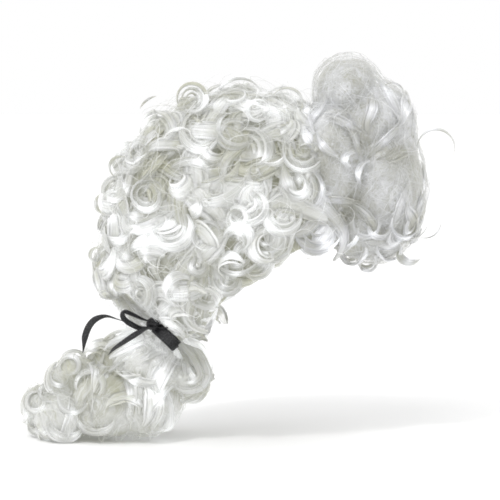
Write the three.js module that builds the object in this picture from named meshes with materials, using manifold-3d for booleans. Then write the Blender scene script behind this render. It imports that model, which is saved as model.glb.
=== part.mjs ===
import * as THREE from 'three';
import { mergeVertices } from 'three/addons/utils/BufferGeometryUtils.js';
import Module from 'manifold-3d';

// A white costume wig: a stretch cap covered with curls, a pouf over the forehead,
// and a curled queue tied at the nape with a black ribbon.
// Millimetres. +X is the face side, +Y the wearer's left, +Z up.
// The origin is the top of the head, inside the cap.

const HEAD_LENGTH = 190;
const HEAD_WIDTH = 152;
const HEAD_DROP = 98; // top of the head down to its widest level
const NECK_WIDTH = 80;
const CAP_EASE = 0.5; // room between the head and the cap
const CAP_WALL = 2;
const PIECE_GAP = 0.35;

const BED_DEPTH = 18; // teased hair under the curls, at the sides and back
const BED_CROWN_DEPTH = 24;
const CURL_RADIUS = 22.5; // outside of a rolled curl
const LOOP_RADIUS = 13; // centre line of a hanging loop of hair
const LOCK_RADIUS = 6.5; // half the thickness of a lock
const PART_ANGLE = 50; // half angle of the crown's cone
const BACK_ANGLE = 52; // half angle of the back's wedge

const POUF_BACK = 60; // where the pouf starts, in front of the top of the head
const POUF_REACH = 168;
const POUF_TOP = 66;
const POUF_DROP = 127; // below the top of the head
const POUF_WIDTH = 156;
const STRAY_RING = 29; // across the loose ring at the front
const STRAY_LOCK = 1.6; // half the thickness of that ring's lock

const NAPE_LEVEL = 150; // where the hair starts to gather, below the top of the head
const TIE_BACK = 67;
const TIE_DROP = 188;
const TIE_RADIUS = 15;
const TIE_SLOPE = 45;

const QUEUE_START = 32; // behind the top of the head
const QUEUE_LENGTH = 167;
const QUEUE_WIDTH = 104;
const QUEUE_HEIGHT = 90;
const SHELF_DROP = 280; // the surface that the queue lies on

const RIBBON_WIDTH = 6.35;
const RIBBON_WALL = 1;
const RIBBON_EASE = 0.525; // room round a strip, on every side
const BAND_WIDTH = 10;
const BAND_WALL = 2.4;
const KNOT_LENGTH = 15;
const LOOP_LENGTH = 26;
const SMALL_LOOP_LENGTH = 13;
const LONG_TAIL_LENGTH = 66;
const SHORT_TAIL_LENGTH = 42;

// Facets: how many steps the larger round surfaces have round them and down.
const facets = {
  cap: { around: 20, down: 7 },
  bed: { around: 20, down: 6 },
  head: { around: 20, down: 12 },
  neck: 12,
  cone: 24,
  band: 16,
  gather: 12,
  curl: 7,
  lobe: 7,
  lock: { around: 4, along: 6 },
  knot: { around: 10, down: 6 },
  middleLobe: { around: 10, down: 7 },
  sideLobe: { around: 6, down: 5 },
};

// The rim of the cap and the hem of the hair: its drop below the top of the head, as a share
// of HEAD_DROP, at each turn from the face (0) round to the back (180).
const rim = [
  { turn: 0, cap: 0.58, hair: 0.66 },
  { turn: 35, cap: 0.74, hair: 0.98 },
  { turn: 70, cap: 1.07, hair: 1.2 },
  { turn: 90, cap: 1.2, hair: 1.36 },
  { turn: 110, cap: 1.43, hair: 1.6 },
  { turn: 130, cap: 1.56, hair: 1.74 },
  { turn: 150, cap: 1.6, hair: 1.82 },
  { turn: 180, cap: 1.6, hair: 1.84 },
];

// Weft rows: fall is the angle down from the crown, size is a share of the curl radius, and
// lean is how far a rolled curl tips off the surface.
const rows = [
  { fall: 12, curls: 4, size: 0.95, lean: 14 },
  { fall: 33, curls: 8, size: 1.0, lean: 14 },
  { fall: 54, curls: 11, size: 1.0, lean: 16 },
  { fall: 74, curls: 13, size: 1.02, lean: 18 },
  { fall: 93, curls: 13, size: 1.0, lean: 18 },
  { fall: 111, curls: 10, size: 0.95, lean: 16 },
];

// The row of loops that hangs along the hem, rise degrees above it.
const hem = { loops: 14, rise: 2, size: 0.9, lean: 22 };

// Lobes of the pouf. x is a share of its depth, y of its half width, z of its height from
// the top, and rx, ry and rz are shares of the same three.
const poufLobes = [
  { x: 0.31, y: 0, z: 0.235, rx: 0.31, ry: 0.62, rz: 0.235 },
  { x: 0.57, y: 0, z: 0.37, rx: 0.36, ry: 0.78, rz: 0.21 },
  { x: 0.54, y: 0, z: 0.58, rx: 0.46, ry: 0.98, rz: 0.3 },
  { x: 0.56, y: 0, z: 0.83, rx: 0.3, ry: 0.72, rz: 0.17 },
  { x: 0.3, y: 0.46, z: 0.14, rx: 0.22, ry: 0.32, rz: 0.12 },
  { x: 0.54, y: 0.66, z: 0.3, rx: 0.2, ry: 0.28, rz: 0.12 },
  { x: 0.79, y: 0.42, z: 0.38, rx: 0.19, ry: 0.3, rz: 0.12 },
  { x: 0.22, y: 0.84, z: 0.5, rx: 0.22, ry: 0.24, rz: 0.13 },
];

// Loose loops that hang from the pouf. turn goes round from the front, height is a share
// of the pouf's height from the top, and size a share of the curl radius.
const poufLoops = [
  { turn: 102, height: 0.72, size: 1.1 },
  { turn: 78, height: 0.8, size: 1.0 },
  { turn: 48, height: 0.78, size: 1.05 },
  { turn: 84, height: 0.58, size: 1.05 },
  { turn: 52, height: 0.56, size: 1.0 },
  { turn: 20, height: 0.62, size: 1.1 },
  { turn: 108, height: 0.44, size: 1.0 },
];

// The gather from the nape to the tie. drop goes from NAPE_LEVEL (0) to the tie (1), back is
// the centre's share of TIE_BACK, and long and wide are shares of the bed's own radii.
const gather = [
  { drop: -0.5, back: 0.5, long: 0.76, wide: 0.74 },
  { drop: 0.05, back: 0.62, long: 0.77, wide: 0.7 },
  { drop: 0.35, back: 0.8, long: 0.6, wide: 0.46 },
  { drop: 0.6, back: 0.92, long: 0.38, wide: 0.25 },
];

// Ringlets of the queue. x is a share of its length from the neck, y of its half width,
// z of its height from the shelf, and r of its height. turn is the way a ringlet lies.
const queueLobes = [
  { x: 0.12, y: -0.1, z: 0.66, r: 0.24, turn: 20 },
  { x: 0.3, y: -0.38, z: 0.7, r: 0.3, turn: 70 },
  { x: 0.3, y: 0.4, z: 0.68, r: 0.3, turn: -60 },
  { x: 0.5, y: 0, z: 0.76, r: 0.24, turn: 85 },
  { x: 0.33, y: -0.5, z: 0.36, r: 0.3, turn: 10 },
  { x: 0.33, y: 0.5, z: 0.34, r: 0.3, turn: -15 },
  { x: 0.56, y: -0.42, z: 0.38, r: 0.34, turn: 60 },
  { x: 0.56, y: 0.42, z: 0.4, r: 0.34, turn: -70 },
  { x: 0.74, y: -0.2, z: 0.6, r: 0.23, turn: 30 },
  { x: 0.74, y: 0.34, z: 0.52, r: 0.22, turn: 120 },
  { x: 0.8, y: -0.4, z: 0.24, r: 0.26, turn: 50 },
  { x: 0.8, y: 0.36, z: 0.22, r: 0.25, turn: 140 },
  { x: 0.91, y: 0, z: 0.3, r: 0.23, turn: 90 },
];

const wasm = await Module();
wasm.setup();

const degrees = Math.PI / 180;
const vector = (x, y, z) => new THREE.Vector3(x, y, z);

// A steady spread of values from -1 to 1, one for each index and use.
const scatter = (index, use) => 2 * (((index + 1) * 0.61803399 + use * 0.36787944) % 1) - 1;

function solidOf(geometry) {
  geometry.deleteAttribute('normal');
  geometry.deleteAttribute('uv');
  const merged = mergeVertices(geometry, 1e-4);
  const mesh = new wasm.Mesh({
    numProp: 3,
    vertProperties: new Float32Array(merged.attributes.position.array),
    triVerts: new Uint32Array(merged.index.array),
  });
  return new wasm.Manifold(mesh);
}

function largest(solid) {
  const bodies = solid.decompose();
  return bodies.reduce((best, body) => (body.volume() > best.volume() ? body : best));
}

// Closed surface through rings of equal count, which run clockwise seen along the loft,
// closed by a fan to the first and last points.
function loft(rings, first, last) {
  const count = rings[0].length;
  const points = [first, ...rings.flat(), last];
  const faces = [];
  const at = (ring, k) => 1 + ring * count + (k % count);
  for (let k = 0; k < count; k += 1) {
    faces.push(0, at(0, k), at(0, k + 1));
    faces.push(at(rings.length - 1, k), points.length - 1, at(rings.length - 1, k + 1));
    for (let ring = 0; ring + 1 < rings.length; ring += 1) {
      faces.push(at(ring, k), at(ring + 1, k), at(ring + 1, k + 1));
      faces.push(at(ring, k), at(ring + 1, k + 1), at(ring, k + 1));
    }
  }
  const geometry = new THREE.BufferGeometry().setFromPoints(points);
  geometry.setIndex(faces);
  return solidOf(geometry);
}

function ellipsoid(centre, radii, facet) {
  const geometry = new THREE.SphereGeometry(1, facet.around, facet.down);
  geometry.rotateX(90 * degrees);
  geometry.scale(radii.x, radii.y, radii.z);
  geometry.translate(centre.x, centre.y, centre.z);
  return solidOf(geometry);
}

function block(low, high) {
  const size = high.clone().sub(low);
  const geometry = new THREE.BoxGeometry(size.x, size.y, size.z);
  geometry.translate(low.x + size.x / 2, low.y + size.y / 2, low.z + size.z / 2);
  return solidOf(geometry);
}

// Head, cap and bed of hair are ellipsoids round one centre.
const headCentre = vector(0, 0, -HEAD_DROP);
const headRadii = vector(HEAD_LENGTH / 2, HEAD_WIDTH / 2, HEAD_DROP);
const grown = (radii, by, byTop = by) => vector(radii.x + by, radii.y + by, radii.z + byTop);
const capInner = grown(headRadii, CAP_EASE);
const capOuter = grown(capInner, CAP_WALL);
const bedInner = grown(capOuter, PIECE_GAP);
const bedOuter = grown(bedInner, BED_DEPTH, BED_CROWN_DEPTH);
const span = 4 * HEAD_LENGTH;

// The point of an ellipsoid that lies fall down from its top and turn round from the face.
function onDome(radii, turn, fall) {
  const out = Math.sin(fall * degrees);
  const x = radii.x * out * Math.cos(turn * degrees);
  const y = radii.y * out * Math.sin(turn * degrees);
  return vector(x, y, radii.z * Math.cos(fall * degrees)).add(headCentre);
}

function rimFall(turn, column) {
  const around = Math.abs(((turn + 180) % 360 + 360) % 360 - 180);
  const next = Math.max(1, rim.findIndex((row) => row.turn >= around));
  const low = rim[next - 1];
  const high = rim[next];
  const share = (around - low.turn) / (high.turn - low.turn);
  const drop = THREE.MathUtils.lerp(low[column], high[column], share);
  return Math.acos(1 - drop) / degrees;
}

// A dome wall between two ellipsoids, down to the rim.
function dome(inner, outer, column, { around, down }) {
  const rings = [];
  const ring = (radii, k) => Array.from({ length: around }, (_, m) => {
    const turn = (360 * m) / around;
    return onDome(radii, turn, (rimFall(turn, column) * k) / down);
  });
  for (let k = 1; k <= down; k += 1) rings.push(ring(outer, k));
  for (let k = down; k >= 1; k -= 1) rings.push(ring(inner, k));
  return loft(rings, onDome(outer, 0, 0), onDome(inner, 0, 0));
}

// How a lock swells, in shares of its radius: at its ends, and how far the points stand off
// its root and tip. full and start set where along it the swell peaks.
const lockShape = { ends: 0.62, full: 1.25, start: 0.1, root: 0.3, tip: 0.5 };

// A lock follows its path with a round section that swells from the root and tapers to the tip.
function lock(path, radius, steps = facets.lock.along, sides = facets.lock.around) {
  const frames = path.computeFrenetFrames(steps, false);
  const rings = [];
  for (let k = 0; k <= steps; k += 1) {
    const share = k / steps;
    const peak = Math.sin(Math.PI * Math.min(1, share * lockShape.full + lockShape.start));
    const swell = radius * THREE.MathUtils.lerp(lockShape.ends, 1, peak);
    const centre = path.getPointAt(share);
    rings.push(Array.from({ length: sides }, (_, m) => {
      const angle = (-360 * m * degrees) / sides;
      return centre.clone()
        .addScaledVector(frames.normals[k], swell * Math.cos(angle))
        .addScaledVector(frames.binormals[k], swell * Math.sin(angle));
    }));
  }
  const first = path.getPointAt(0).addScaledVector(path.getTangentAt(0), -radius * lockShape.root);
  const last = path.getPointAt(1).addScaledVector(path.getTangentAt(1), radius * lockShape.tip);
  return loft(rings, first, last);
}

const RINGLET_SHRINK = 0.35; // share of its radius that a ringlet loses by its tip

// A ringlet: radius shrinks towards the tip while the lock climbs along the axis.
class Ringlet extends THREE.Curve {
  constructor(centre, axis, start, radius, turns, climb) {
    super();
    this.centre = centre;
    this.axis = axis.clone().normalize();
    this.side = start.clone().addScaledVector(this.axis, -start.dot(this.axis)).normalize();
    this.up = this.axis.clone().cross(this.side);
    this.radius = radius;
    this.turns = turns;
    this.climb = climb;
  }

  getPoint(t, target = vector(0, 0, 0)) {
    const angle = 2 * Math.PI * this.turns * t;
    const radius = this.radius * (1 - RINGLET_SHRINK * t);
    return target.copy(this.centre)
      .addScaledVector(this.axis, this.climb * (t - 0.5))
      .addScaledVector(this.side, radius * Math.cos(angle))
      .addScaledVector(this.up, radius * Math.sin(angle));
  }
}

// The axis of a curl on a surface: outward, tipped by lean to a scattered side.
function curlAxis(outward, lean, index) {
  const down = vector(0, 0, -1).addScaledVector(outward, outward.z).normalize();
  const side = outward.clone().cross(down);
  const way = 360 * scatter(index, 1) * degrees;
  const tip = down.clone().multiplyScalar(Math.cos(way)).addScaledVector(side, Math.sin(way));
  const axis = outward.clone().multiplyScalar(Math.cos(lean * degrees));
  return { axis: axis.addScaledVector(tip, Math.sin(lean * degrees)), side };
}

// Turns of a loop, and their scatter, and its climb as a share of its radius.
const loopShape = { turns: 0.9, spread: 0.1, climb: 0.6 };

// A loop of hair that stands off a surface.
function loopCurl(place, outward, radius, lean, index) {
  const { axis, side } = curlAxis(outward, lean, index);
  const hand = scatter(index, 3) > 0 ? 1 : -1;
  const turns = hand * (loopShape.turns + loopShape.spread * scatter(index, 4));
  return lock(new Ringlet(place, axis, side, radius, turns, loopShape.climb * radius), LOCK_RADIUS);
}

// Section of a rolled curl in shares of its radius, from under the hair to the dimple, and
// how much longer or shorter than round it may be.
const curlProfile = [
  { out: 0, up: -0.6 },
  { out: 1, up: 0.02 },
  { out: 0.56, up: 0.46 },
  { out: 0, up: 0.16 },
];
const CURL_STRETCH = 0.14;

// A rolled curl: a round pad of hair with a dimple in its middle, turned about its axis.
function rolledCurl(place, outward, radius, lean, index) {
  const { axis } = curlAxis(outward, lean, index);
  const profile = curlProfile.map((row) => new THREE.Vector2(row.out * radius, row.up * radius));
  const geometry = new THREE.LatheGeometry(profile, facets.curl);
  geometry.rotateY(180 * scatter(index, 9) * degrees);
  geometry.scale(1 + CURL_STRETCH * scatter(index, 2), 1, 1 - CURL_STRETCH * scatter(index, 5));
  geometry.applyQuaternion(new THREE.Quaternion().setFromUnitVectors(vector(0, 1, 0), axis));
  geometry.translate(place.x, place.y, place.z);
  return solidOf(geometry);
}

// A place on the bed, and the way out of it.
function onBed(turn, fall) {
  const place = onDome(bedOuter, turn, fall);
  const offset = place.clone().sub(headCentre);
  return { place, outward: offset.divide(bedOuter.clone().multiply(bedOuter)).normalize() };
}

// Scatter of the curls: turn is a share of the step between neighbours, fall is in degrees,
// rise a share of the curl radius, and clear the angle that they keep off the hem.
const curlScatter = { turn: 0.2, fall: 3.5, rise: 0.1, clear: 6 };
const ROW_STRIDE = 20; // first index of a row over that of the row before
const HEM_INDEX = 120;
const POUF_INDEX = 200;

function domeCurls() {
  const curls = [];
  rows.forEach((row, level) => {
    for (let k = 0; k < row.curls; k += 1) {
      const index = level * ROW_STRIDE + k;
      const shift = 0.5 * (level % 2) + curlScatter.turn * scatter(index, 6);
      const turn = (360 * (k + shift)) / row.curls;
      const fall = row.fall + curlScatter.fall * scatter(index, 7);
      const { place, outward } = onBed(turn, fall);
      if (fall > rimFall(turn, 'hair') - curlScatter.clear || place.x > POUF_BACK) continue;
      place.addScaledVector(outward, curlScatter.rise * CURL_RADIUS * (1 + scatter(index, 8)));
      curls.push(rolledCurl(place, outward, CURL_RADIUS * row.size, row.lean, index));
    }
  });
  for (let k = 0; k < hem.loops; k += 1) {
    const turn = (360 * (k + 0.5)) / hem.loops;
    const { place, outward } = onBed(turn, rimFall(turn, 'hair') - hem.rise);
    const gathered = Math.abs(turn - 180) < BACK_ANGLE;
    if (place.x > POUF_BACK || gathered) continue;
    curls.push(loopCurl(place, outward, LOOP_RADIUS * hem.size, hem.lean, HEM_INDEX + k));
  }
  return curls;
}

const poufDepth = POUF_REACH - POUF_BACK;
const poufHeight = POUF_TOP + POUF_DROP;
const poufHalf = POUF_WIDTH / 2;

// Where the pouf's loops sit, in shares of its depth, half width and height: middle and reach
// along its depth, side across it. Under foot the pouf draws in, by at most most of itself;
// loops lower than hanging hang, and those above it are rolled.
const poufPlan = { middle: 0.52, reach: 0.43, side: 0.93, foot: 0.58, most: 0.86, hanging: 0.7, lean: 18 };

// The loose ring at the front: its centre ahead of the pouf and its root behind, in shares of
// its own radius, its place across and down in shares of the pouf's, and its turns.
const stray = {
  ahead: 0.72, side: -0.2, level: -0.09, turns: 0.62, climb: 4, back: 1.4, drop: 0.5, steps: 8,
};

function poufLobe(lobe, side) {
  const centre = vector(
    POUF_BACK + lobe.x * poufDepth,
    side * lobe.y * poufHalf,
    POUF_TOP - lobe.z * poufHeight,
  );
  const radii = vector(lobe.rx * poufDepth, lobe.ry * poufHalf, lobe.rz * poufHeight);
  return ellipsoid(centre, radii, side === 0 ? facets.middleLobe : facets.sideLobe);
}

function poufLoop(loop, side, index) {
  const low = Math.max(0, loop.height - poufPlan.foot) / (1 - poufPlan.foot);
  const share = Math.sqrt(1 - Math.min(poufPlan.most, low * low));
  const outward = vector(Math.cos(loop.turn * degrees), side * Math.sin(loop.turn * degrees), 0);
  const place = vector(
    POUF_BACK + poufDepth * (poufPlan.middle + poufPlan.reach * share * outward.x),
    poufHalf * poufPlan.side * share * outward.y,
    POUF_TOP - loop.height * poufHeight,
  );
  const hangs = loop.height > poufPlan.hanging;
  const curl = hangs ? loopCurl : rolledCurl;
  const radius = hangs ? LOOP_RADIUS : CURL_RADIUS;
  return curl(place, outward, radius * loop.size, poufPlan.lean, POUF_INDEX + 2 * index + side);
}

function strayRing() {
  const radius = STRAY_RING / 2 - STRAY_LOCK;
  const centre = vector(POUF_REACH + radius * stray.ahead, poufHalf * stray.side, poufHeight * stray.level);
  const ring = new Ringlet(centre, vector(0, 1, 0), vector(-1, 0, 0.5), radius, stray.turns, stray.climb);
  const points = [ring.getPoint(0).add(vector(-radius * stray.back, 0, -radius * stray.drop))];
  for (let k = 0; k <= stray.steps; k += 1) points.push(ring.getPoint(k / stray.steps));
  return lock(new THREE.CatmullRomCurve3(points), STRAY_LOCK, stray.steps + 1);
}

function pouf() {
  return [
    ...poufLobes.flatMap((lobe) => (lobe.y === 0 ? [0] : [-1, 1]).map((side) => poufLobe(lobe, side))),
    ...poufLoops.flatMap((loop, index) => [-1, 1].map((side) => poufLoop(loop, side, index))),
    strayRing(),
  ];
}

const tieCentre = vector(-TIE_BACK, 0, -TIE_DROP);
const tieAxis = vector(-Math.sin(TIE_SLOPE * degrees), 0, -Math.cos(TIE_SLOPE * degrees));
const tieOver = vector(-tieAxis.z, 0, tieAxis.x).negate();

// A ring of points round a centre, across the axis, clockwise seen along it.
function roundRing(centre, over, axis, long, wide, count) {
  const side = axis.clone().cross(over).normalize();
  return Array.from({ length: count }, (_, m) => {
    const angle = (-360 * m * degrees) / count;
    return centre.clone()
      .addScaledVector(over, long * Math.cos(angle))
      .addScaledVector(side, wide * Math.sin(angle));
  });
}

// Folds of the gather. share goes from the middle of the back (1) to the sides (0). The route's
// x is a share of TIE_BACK, less xFall for each share; y is a share of the bed's half width,
// plus yRise for each share; drop goes from NAPE_LEVEL to the tie.
const folds = {
  shares: [0.3, 0.7],
  size: 1.5,
  spread: 0.2,
  steps: 5,
  route: [
    { x: 1.6, xFall: 1.2, y: 0.42, yRise: 0.3, drop: -0.2 },
    { x: 1.5, xFall: 0.9, y: 0.5, yRise: 0, drop: 0.32 },
    { x: 1.2, xFall: 0.4, y: 0.25, yRise: 0, drop: 0.66 },
  ],
  end: 0.4, // share of the tie's radius
};
const GATHER_REACH = 0.9; // share of the band's width over which the gather is round

// Hair drawn in from the nape to the tie.
function napeGather() {
  const down = vector(0, 0, -1);
  const level = (share) => -THREE.MathUtils.lerp(NAPE_LEVEL, TIE_DROP, share);
  const rings = gather.map((row) => {
    const centre = vector(-TIE_BACK * row.back, 0, level(row.drop));
    const [long, wide] = [bedOuter.x * row.long, bedOuter.y * row.wide];
    return roundRing(centre, vector(-1, 0, 0), down, long, wide, facets.gather);
  });
  [-BAND_WIDTH * GATHER_REACH, 0].forEach((along) => {
    const centre = tieCentre.clone().addScaledVector(tieAxis, along);
    rings.push(roundRing(centre, tieOver, tieAxis, TIE_RADIUS, TIE_RADIUS, facets.gather));
  });
  const top = vector(-TIE_BACK * gather[0].back, 0, level(gather[0].drop));
  const body = loft(rings, top, tieCentre);
  const inBand = tieCentre.clone().addScaledVector(tieAxis, -BAND_WIDTH);
  const locks = [-1, 1].flatMap((side) => folds.shares.map((share, index) => {
    const points = folds.route.map((row) => vector(
      -TIE_BACK * (row.x - row.xFall * share),
      side * bedOuter.y * (row.y + row.yRise * share),
      level(row.drop),
    ));
    points.push(inBand.clone().add(vector(0, side * TIE_RADIUS * folds.end, 0)));
    const radius = LOCK_RADIUS * (folds.size + folds.spread * scatter(index, 10));
    return lock(new THREE.CatmullRomCurve3(points), radius, folds.steps);
  }));
  return wasm.Manifold.union([body, ...locks]);
}

// The throat of the queue from inside the band: along is in band widths, size in tie radii.
const throat = [
  { along: 0, size: 1 },
  { along: 0.8, size: 1 },
  { along: 2.2, size: 1.504 },
  { along: 3.6, size: 1.952 },
];
const THROAT_END = 4.2; // in band widths

// Route of a queue ringlet in shares of its radius: along it, and over its centre. Its middle
// is lifted by arch, scattered from none to double.
const lobeRoute = { reach: 0.62, arch: 0.1, first: -0.2, last: -0.15 };

// Sections of a queue ringlet: share along it, and size as a share of its radius.
const lobeRings = [
  { share: 0.12, size: 0.8 },
  { share: 0.5, size: 0.98 },
  { share: 0.88, size: 0.8 },
];
const LOBE_TIP = 0.42; // how far its points stand off its route, as a share of its radius

// The tied hair below the ribbon: fat ringlets that lie on the shelf.
function queue() {
  const rings = throat.map((row) => {
    const centre = tieCentre.clone().addScaledVector(tieAxis, row.along * BAND_WIDTH);
    const radius = TIE_RADIUS * row.size;
    return roundRing(centre, tieOver, tieAxis, radius, radius, facets.gather);
  });
  const end = tieCentre.clone().addScaledVector(tieAxis, THROAT_END * BAND_WIDTH);
  const parts = [loft(rings, tieCentre, end)];
  const low = -SHELF_DROP;
  queueLobes.forEach((lobe, index) => {
    const radius = lobe.r * QUEUE_HEIGHT;
    const at = (along, over) => vector(
      -QUEUE_START - lobe.x * QUEUE_LENGTH + radius * along * Math.cos(lobe.turn * degrees),
      (lobe.y * QUEUE_WIDTH) / 2 + radius * along * Math.sin(lobe.turn * degrees),
      low + lobe.z * QUEUE_HEIGHT + radius * over,
    );
    const path = new THREE.CatmullRomCurve3([
      at(-lobeRoute.reach, lobeRoute.first),
      at(0, lobeRoute.arch * (1 + scatter(index, 11))),
      at(lobeRoute.reach, lobeRoute.last),
    ]);
    parts.push(lobeSolid(path, radius));
  });
  const shelf = block(vector(-span, -span, low - span), vector(span, span, low));
  return largest(wasm.Manifold.union(parts).subtract(shelf));
}

// A fat ringlet: full in the middle, with round ends and a waist between two turns.
function lobeSolid(path, radius) {
  const tangent = path.getTangentAt(0.5);
  const over = vector(0, 0, 1).addScaledVector(tangent, -tangent.z).normalize();
  const rings = lobeRings.map((row) => {
    const size = radius * row.size;
    return roundRing(path.getPointAt(row.share), over, tangent, size, size, facets.lobe);
  });
  const first = path.getPointAt(0).addScaledVector(tangent, -radius * LOBE_TIP);
  const last = path.getPointAt(1).addScaledVector(tangent, radius * LOBE_TIP);
  return loft(rings, first, last);
}

const STRIP_STEPS = 3; // sections of a strip between two points of its route

// Ribbon: a flat strip along a path. Its width starts along the wearer's left and turns
// about the path by the angles in turns. by grows it on all sides, for the room round it.
function strip(points, turns, width, by = 0) {
  const path = new THREE.CatmullRomCurve3(points);
  const steps = STRIP_STEPS * (points.length - 1);
  const twist = new THREE.SplineCurve(turns.map((turn, k) => new THREE.Vector2(k, turn)));
  const rings = [];
  for (let k = 0; k <= steps; k += 1) {
    const share = k / steps;
    const tangent = path.getTangent(share);
    const across = vector(0, 1, 0).addScaledVector(tangent, -tangent.y).normalize();
    across.applyAxisAngle(tangent, twist.getPoint(share).y * degrees);
    const face = tangent.clone().cross(across);
    const half = width / 2 + by;
    const wall = RIBBON_WALL / 2 + by;
    const end = k === 0 ? -by : k === steps ? by : 0;
    const centre = path.getPoint(share).addScaledVector(tangent, end);
    rings.push([[1, 1], [1, -1], [-1, -1], [-1, 1]].map(([a, b]) => (
      centre.clone().addScaledVector(across, a * half).addScaledVector(face, b * wall)
    )));
  }
  const middle = (ring) => ring[0].clone().add(ring[2]).multiplyScalar(0.5);
  return loft(rings, middle(rings[0]), middle(rings[steps]));
}

// The knot: radii and height over the band in shares of its length, and which way it lies off
// the tie: up and to the wearer's right.
const knotShape = { x: 0.5, y: 0.36, z: 0.4, rise: 0.2, over: 0.8, right: 0.6 };
const knotWay = tieOver.clone().multiplyScalar(knotShape.over).add(vector(0, -knotShape.right, 0));
const bandOuter = TIE_RADIUS + PIECE_GAP + BAND_WALL;
const knotCentre = tieCentre.clone().addScaledVector(knotWay, bandOuter + KNOT_LENGTH * knotShape.rise);

function ring(inner, outer, width) {
  const profile = [
    [inner, -width / 2], [outer, -width / 2], [outer, width / 2], [inner, width / 2],
    [inner, -width / 2],
  ].map(([r, z]) => new THREE.Vector2(r, z));
  const geometry = new THREE.LatheGeometry(profile, facets.band);
  geometry.applyQuaternion(new THREE.Quaternion().setFromUnitVectors(vector(0, 1, 0), tieAxis));
  geometry.translate(tieCentre.x, tieCentre.y, tieCentre.z);
  return solidOf(geometry);
}

const knot = (by = 0) => ellipsoid(
  knotCentre,
  grown(vector(knotShape.x, knotShape.y, knotShape.z).multiplyScalar(KNOT_LENGTH), by),
  facets.knot,
);

// Routes from the knot, in shares of each piece's own length, with the turn of the strip.
const bows = {
  ribbon_loop: {
    length: LOOP_LENGTH,
    route: [[0, -0.05, 0.06], [-0.35, -0.3, 0.2], [-0.7, -0.55, 0.4], [-0.93, -0.7, 0.5],
      [-1.02, -0.74, 0.4], [-0.95, -0.7, 0.24], [-0.7, -0.55, 0.04], [-0.35, -0.3, -0.12],
      [0, -0.04, -0.08]],
    turns: [0, 30, 45, 45, 45, 45, 45, 30, 0],
  },
  ribbon_small_loop: {
    length: SMALL_LOOP_LENGTH,
    route: [[0, 0, 0.14], [0.5, -0.35, 0.3], [0.95, -0.55, 0.25], [1.1, -0.6, -0.1],
      [0.65, -0.45, -0.25], [0, 0, -0.14]],
    turns: [0, 15, 25, 25, 15, 0],
  },
  ribbon_long_tail: {
    length: LONG_TAIL_LENGTH,
    route: [[0, 0.02, -0.02], [-0.1, -0.02, -0.04], [-0.3, -0.11, 0.02], [-0.48, -0.2, 0.09],
      [-0.63, -0.24, 0.135], [-0.77, -0.24, 0.094], [-0.865, -0.22, -0.015],
      [-0.925, -0.19, -0.18], [-0.975, -0.16, -0.37]],
    turns: [0, 0, 6, 14, 35, 65, 75, 65, 50],
  },
  ribbon_short_tail: {
    length: SHORT_TAIL_LENGTH,
    route: [[0, -0.06, -0.06], [-0.16, -0.28, -0.08], [-0.36, -0.42, -0.17], [-0.6, -0.5, -0.32],
      [-0.79, -0.52, -0.45], [-0.96, -0.52, -0.6]],
    turns: [0, 40, 60, 50, 35, 15],
  },
};

const bowPoints = (bow) => bow.route.map(([x, y, z]) => (
  vector(x, y, z).multiplyScalar(bow.length).add(knotCentre)
));

function ribbon() {
  const room = knot(PIECE_GAP);
  const pieces = {
    ribbon_band: ring(TIE_RADIUS + PIECE_GAP, bandOuter, BAND_WIDTH).subtract(room),
    ribbon_knot: knot(),
  };
  const taken = [
    room,
    ring(TIE_RADIUS, bandOuter + PIECE_GAP, BAND_WIDTH + 2 * PIECE_GAP),
  ];
  Object.entries(bows).forEach(([name, bow]) => {
    const points = bowPoints(bow);
    const solid = strip(points, bow.turns, RIBBON_WIDTH);
    pieces[name] = largest(solid.subtract(wasm.Manifold.union(taken)));
    taken.push(strip(points, bow.turns, RIBBON_WIDTH, RIBBON_EASE));
  });
  return { pieces, taken: wasm.Manifold.union(taken) };
}

const FACE_START = 0.08; // where the free face begins, behind the head's middle, as a share
const NECK_AHEAD = 0.016; // the neck's centre in front of the head's, as a share of its length
const BED_ROOT = 0.86; // how deep the bed reaches before the head's room is cut, in cap radii

// Room for the head and neck: the head's own form, open straight down in front so that
// the face is free, and the neck below it.
function headRoom() {
  const face = new THREE.CylinderGeometry(1, 1, 1, facets.head.around);
  face.rotateX(90 * degrees);
  face.scale(bedInner.x, bedInner.y, span);
  face.translate(0, 0, -HEAD_DROP - span / 2);
  const front = block(vector(-HEAD_LENGTH * FACE_START, -span, -span), vector(span, span, 0));
  const neck = new THREE.CylinderGeometry(NECK_WIDTH / 2, NECK_WIDTH / 2, span, facets.neck);
  neck.rotateX(90 * degrees);
  neck.translate(HEAD_LENGTH * NECK_AHEAD, 0, -HEAD_DROP - span / 2);
  const flat = Math.PI / facets.head.around; // half a facet's angle, so that its flats stay clear
  return wasm.Manifold.union([
    ellipsoid(headCentre, bedInner.clone().multiplyScalar(1 / Math.cos(flat)), facets.head),
    solidOf(face).intersect(front),
    solidOf(neck),
  ]);
}

// A cone from the head's centre, opening upwards, lowered by drop.
function crownCone(drop) {
  const height = span / 2;
  const geometry = new THREE.ConeGeometry(height * Math.tan(PART_ANGLE * degrees), height, facets.cone);
  geometry.rotateX(-90 * degrees);
  geometry.translate(0, 0, height / 2 - HEAD_DROP - drop);
  return solidOf(geometry);
}

// An upright wedge behind the head's centre, grown by a gap on both faces.
function backWedge(by) {
  const shape = new THREE.Shape();
  const half = BACK_ANGLE * degrees;
  const start = by / Math.sin(half);
  shape.moveTo(start, 0);
  shape.lineTo(-span * Math.cos(half) + start, span * Math.sin(half));
  shape.lineTo(-span * Math.cos(half) + start, -span * Math.sin(half));
  shape.closePath();
  const geometry = new THREE.ExtrudeGeometry(shape, { depth: span, bevelEnabled: false });
  geometry.translate(0, 0, -span / 2 - HEAD_DROP);
  return solidOf(geometry);
}

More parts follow.
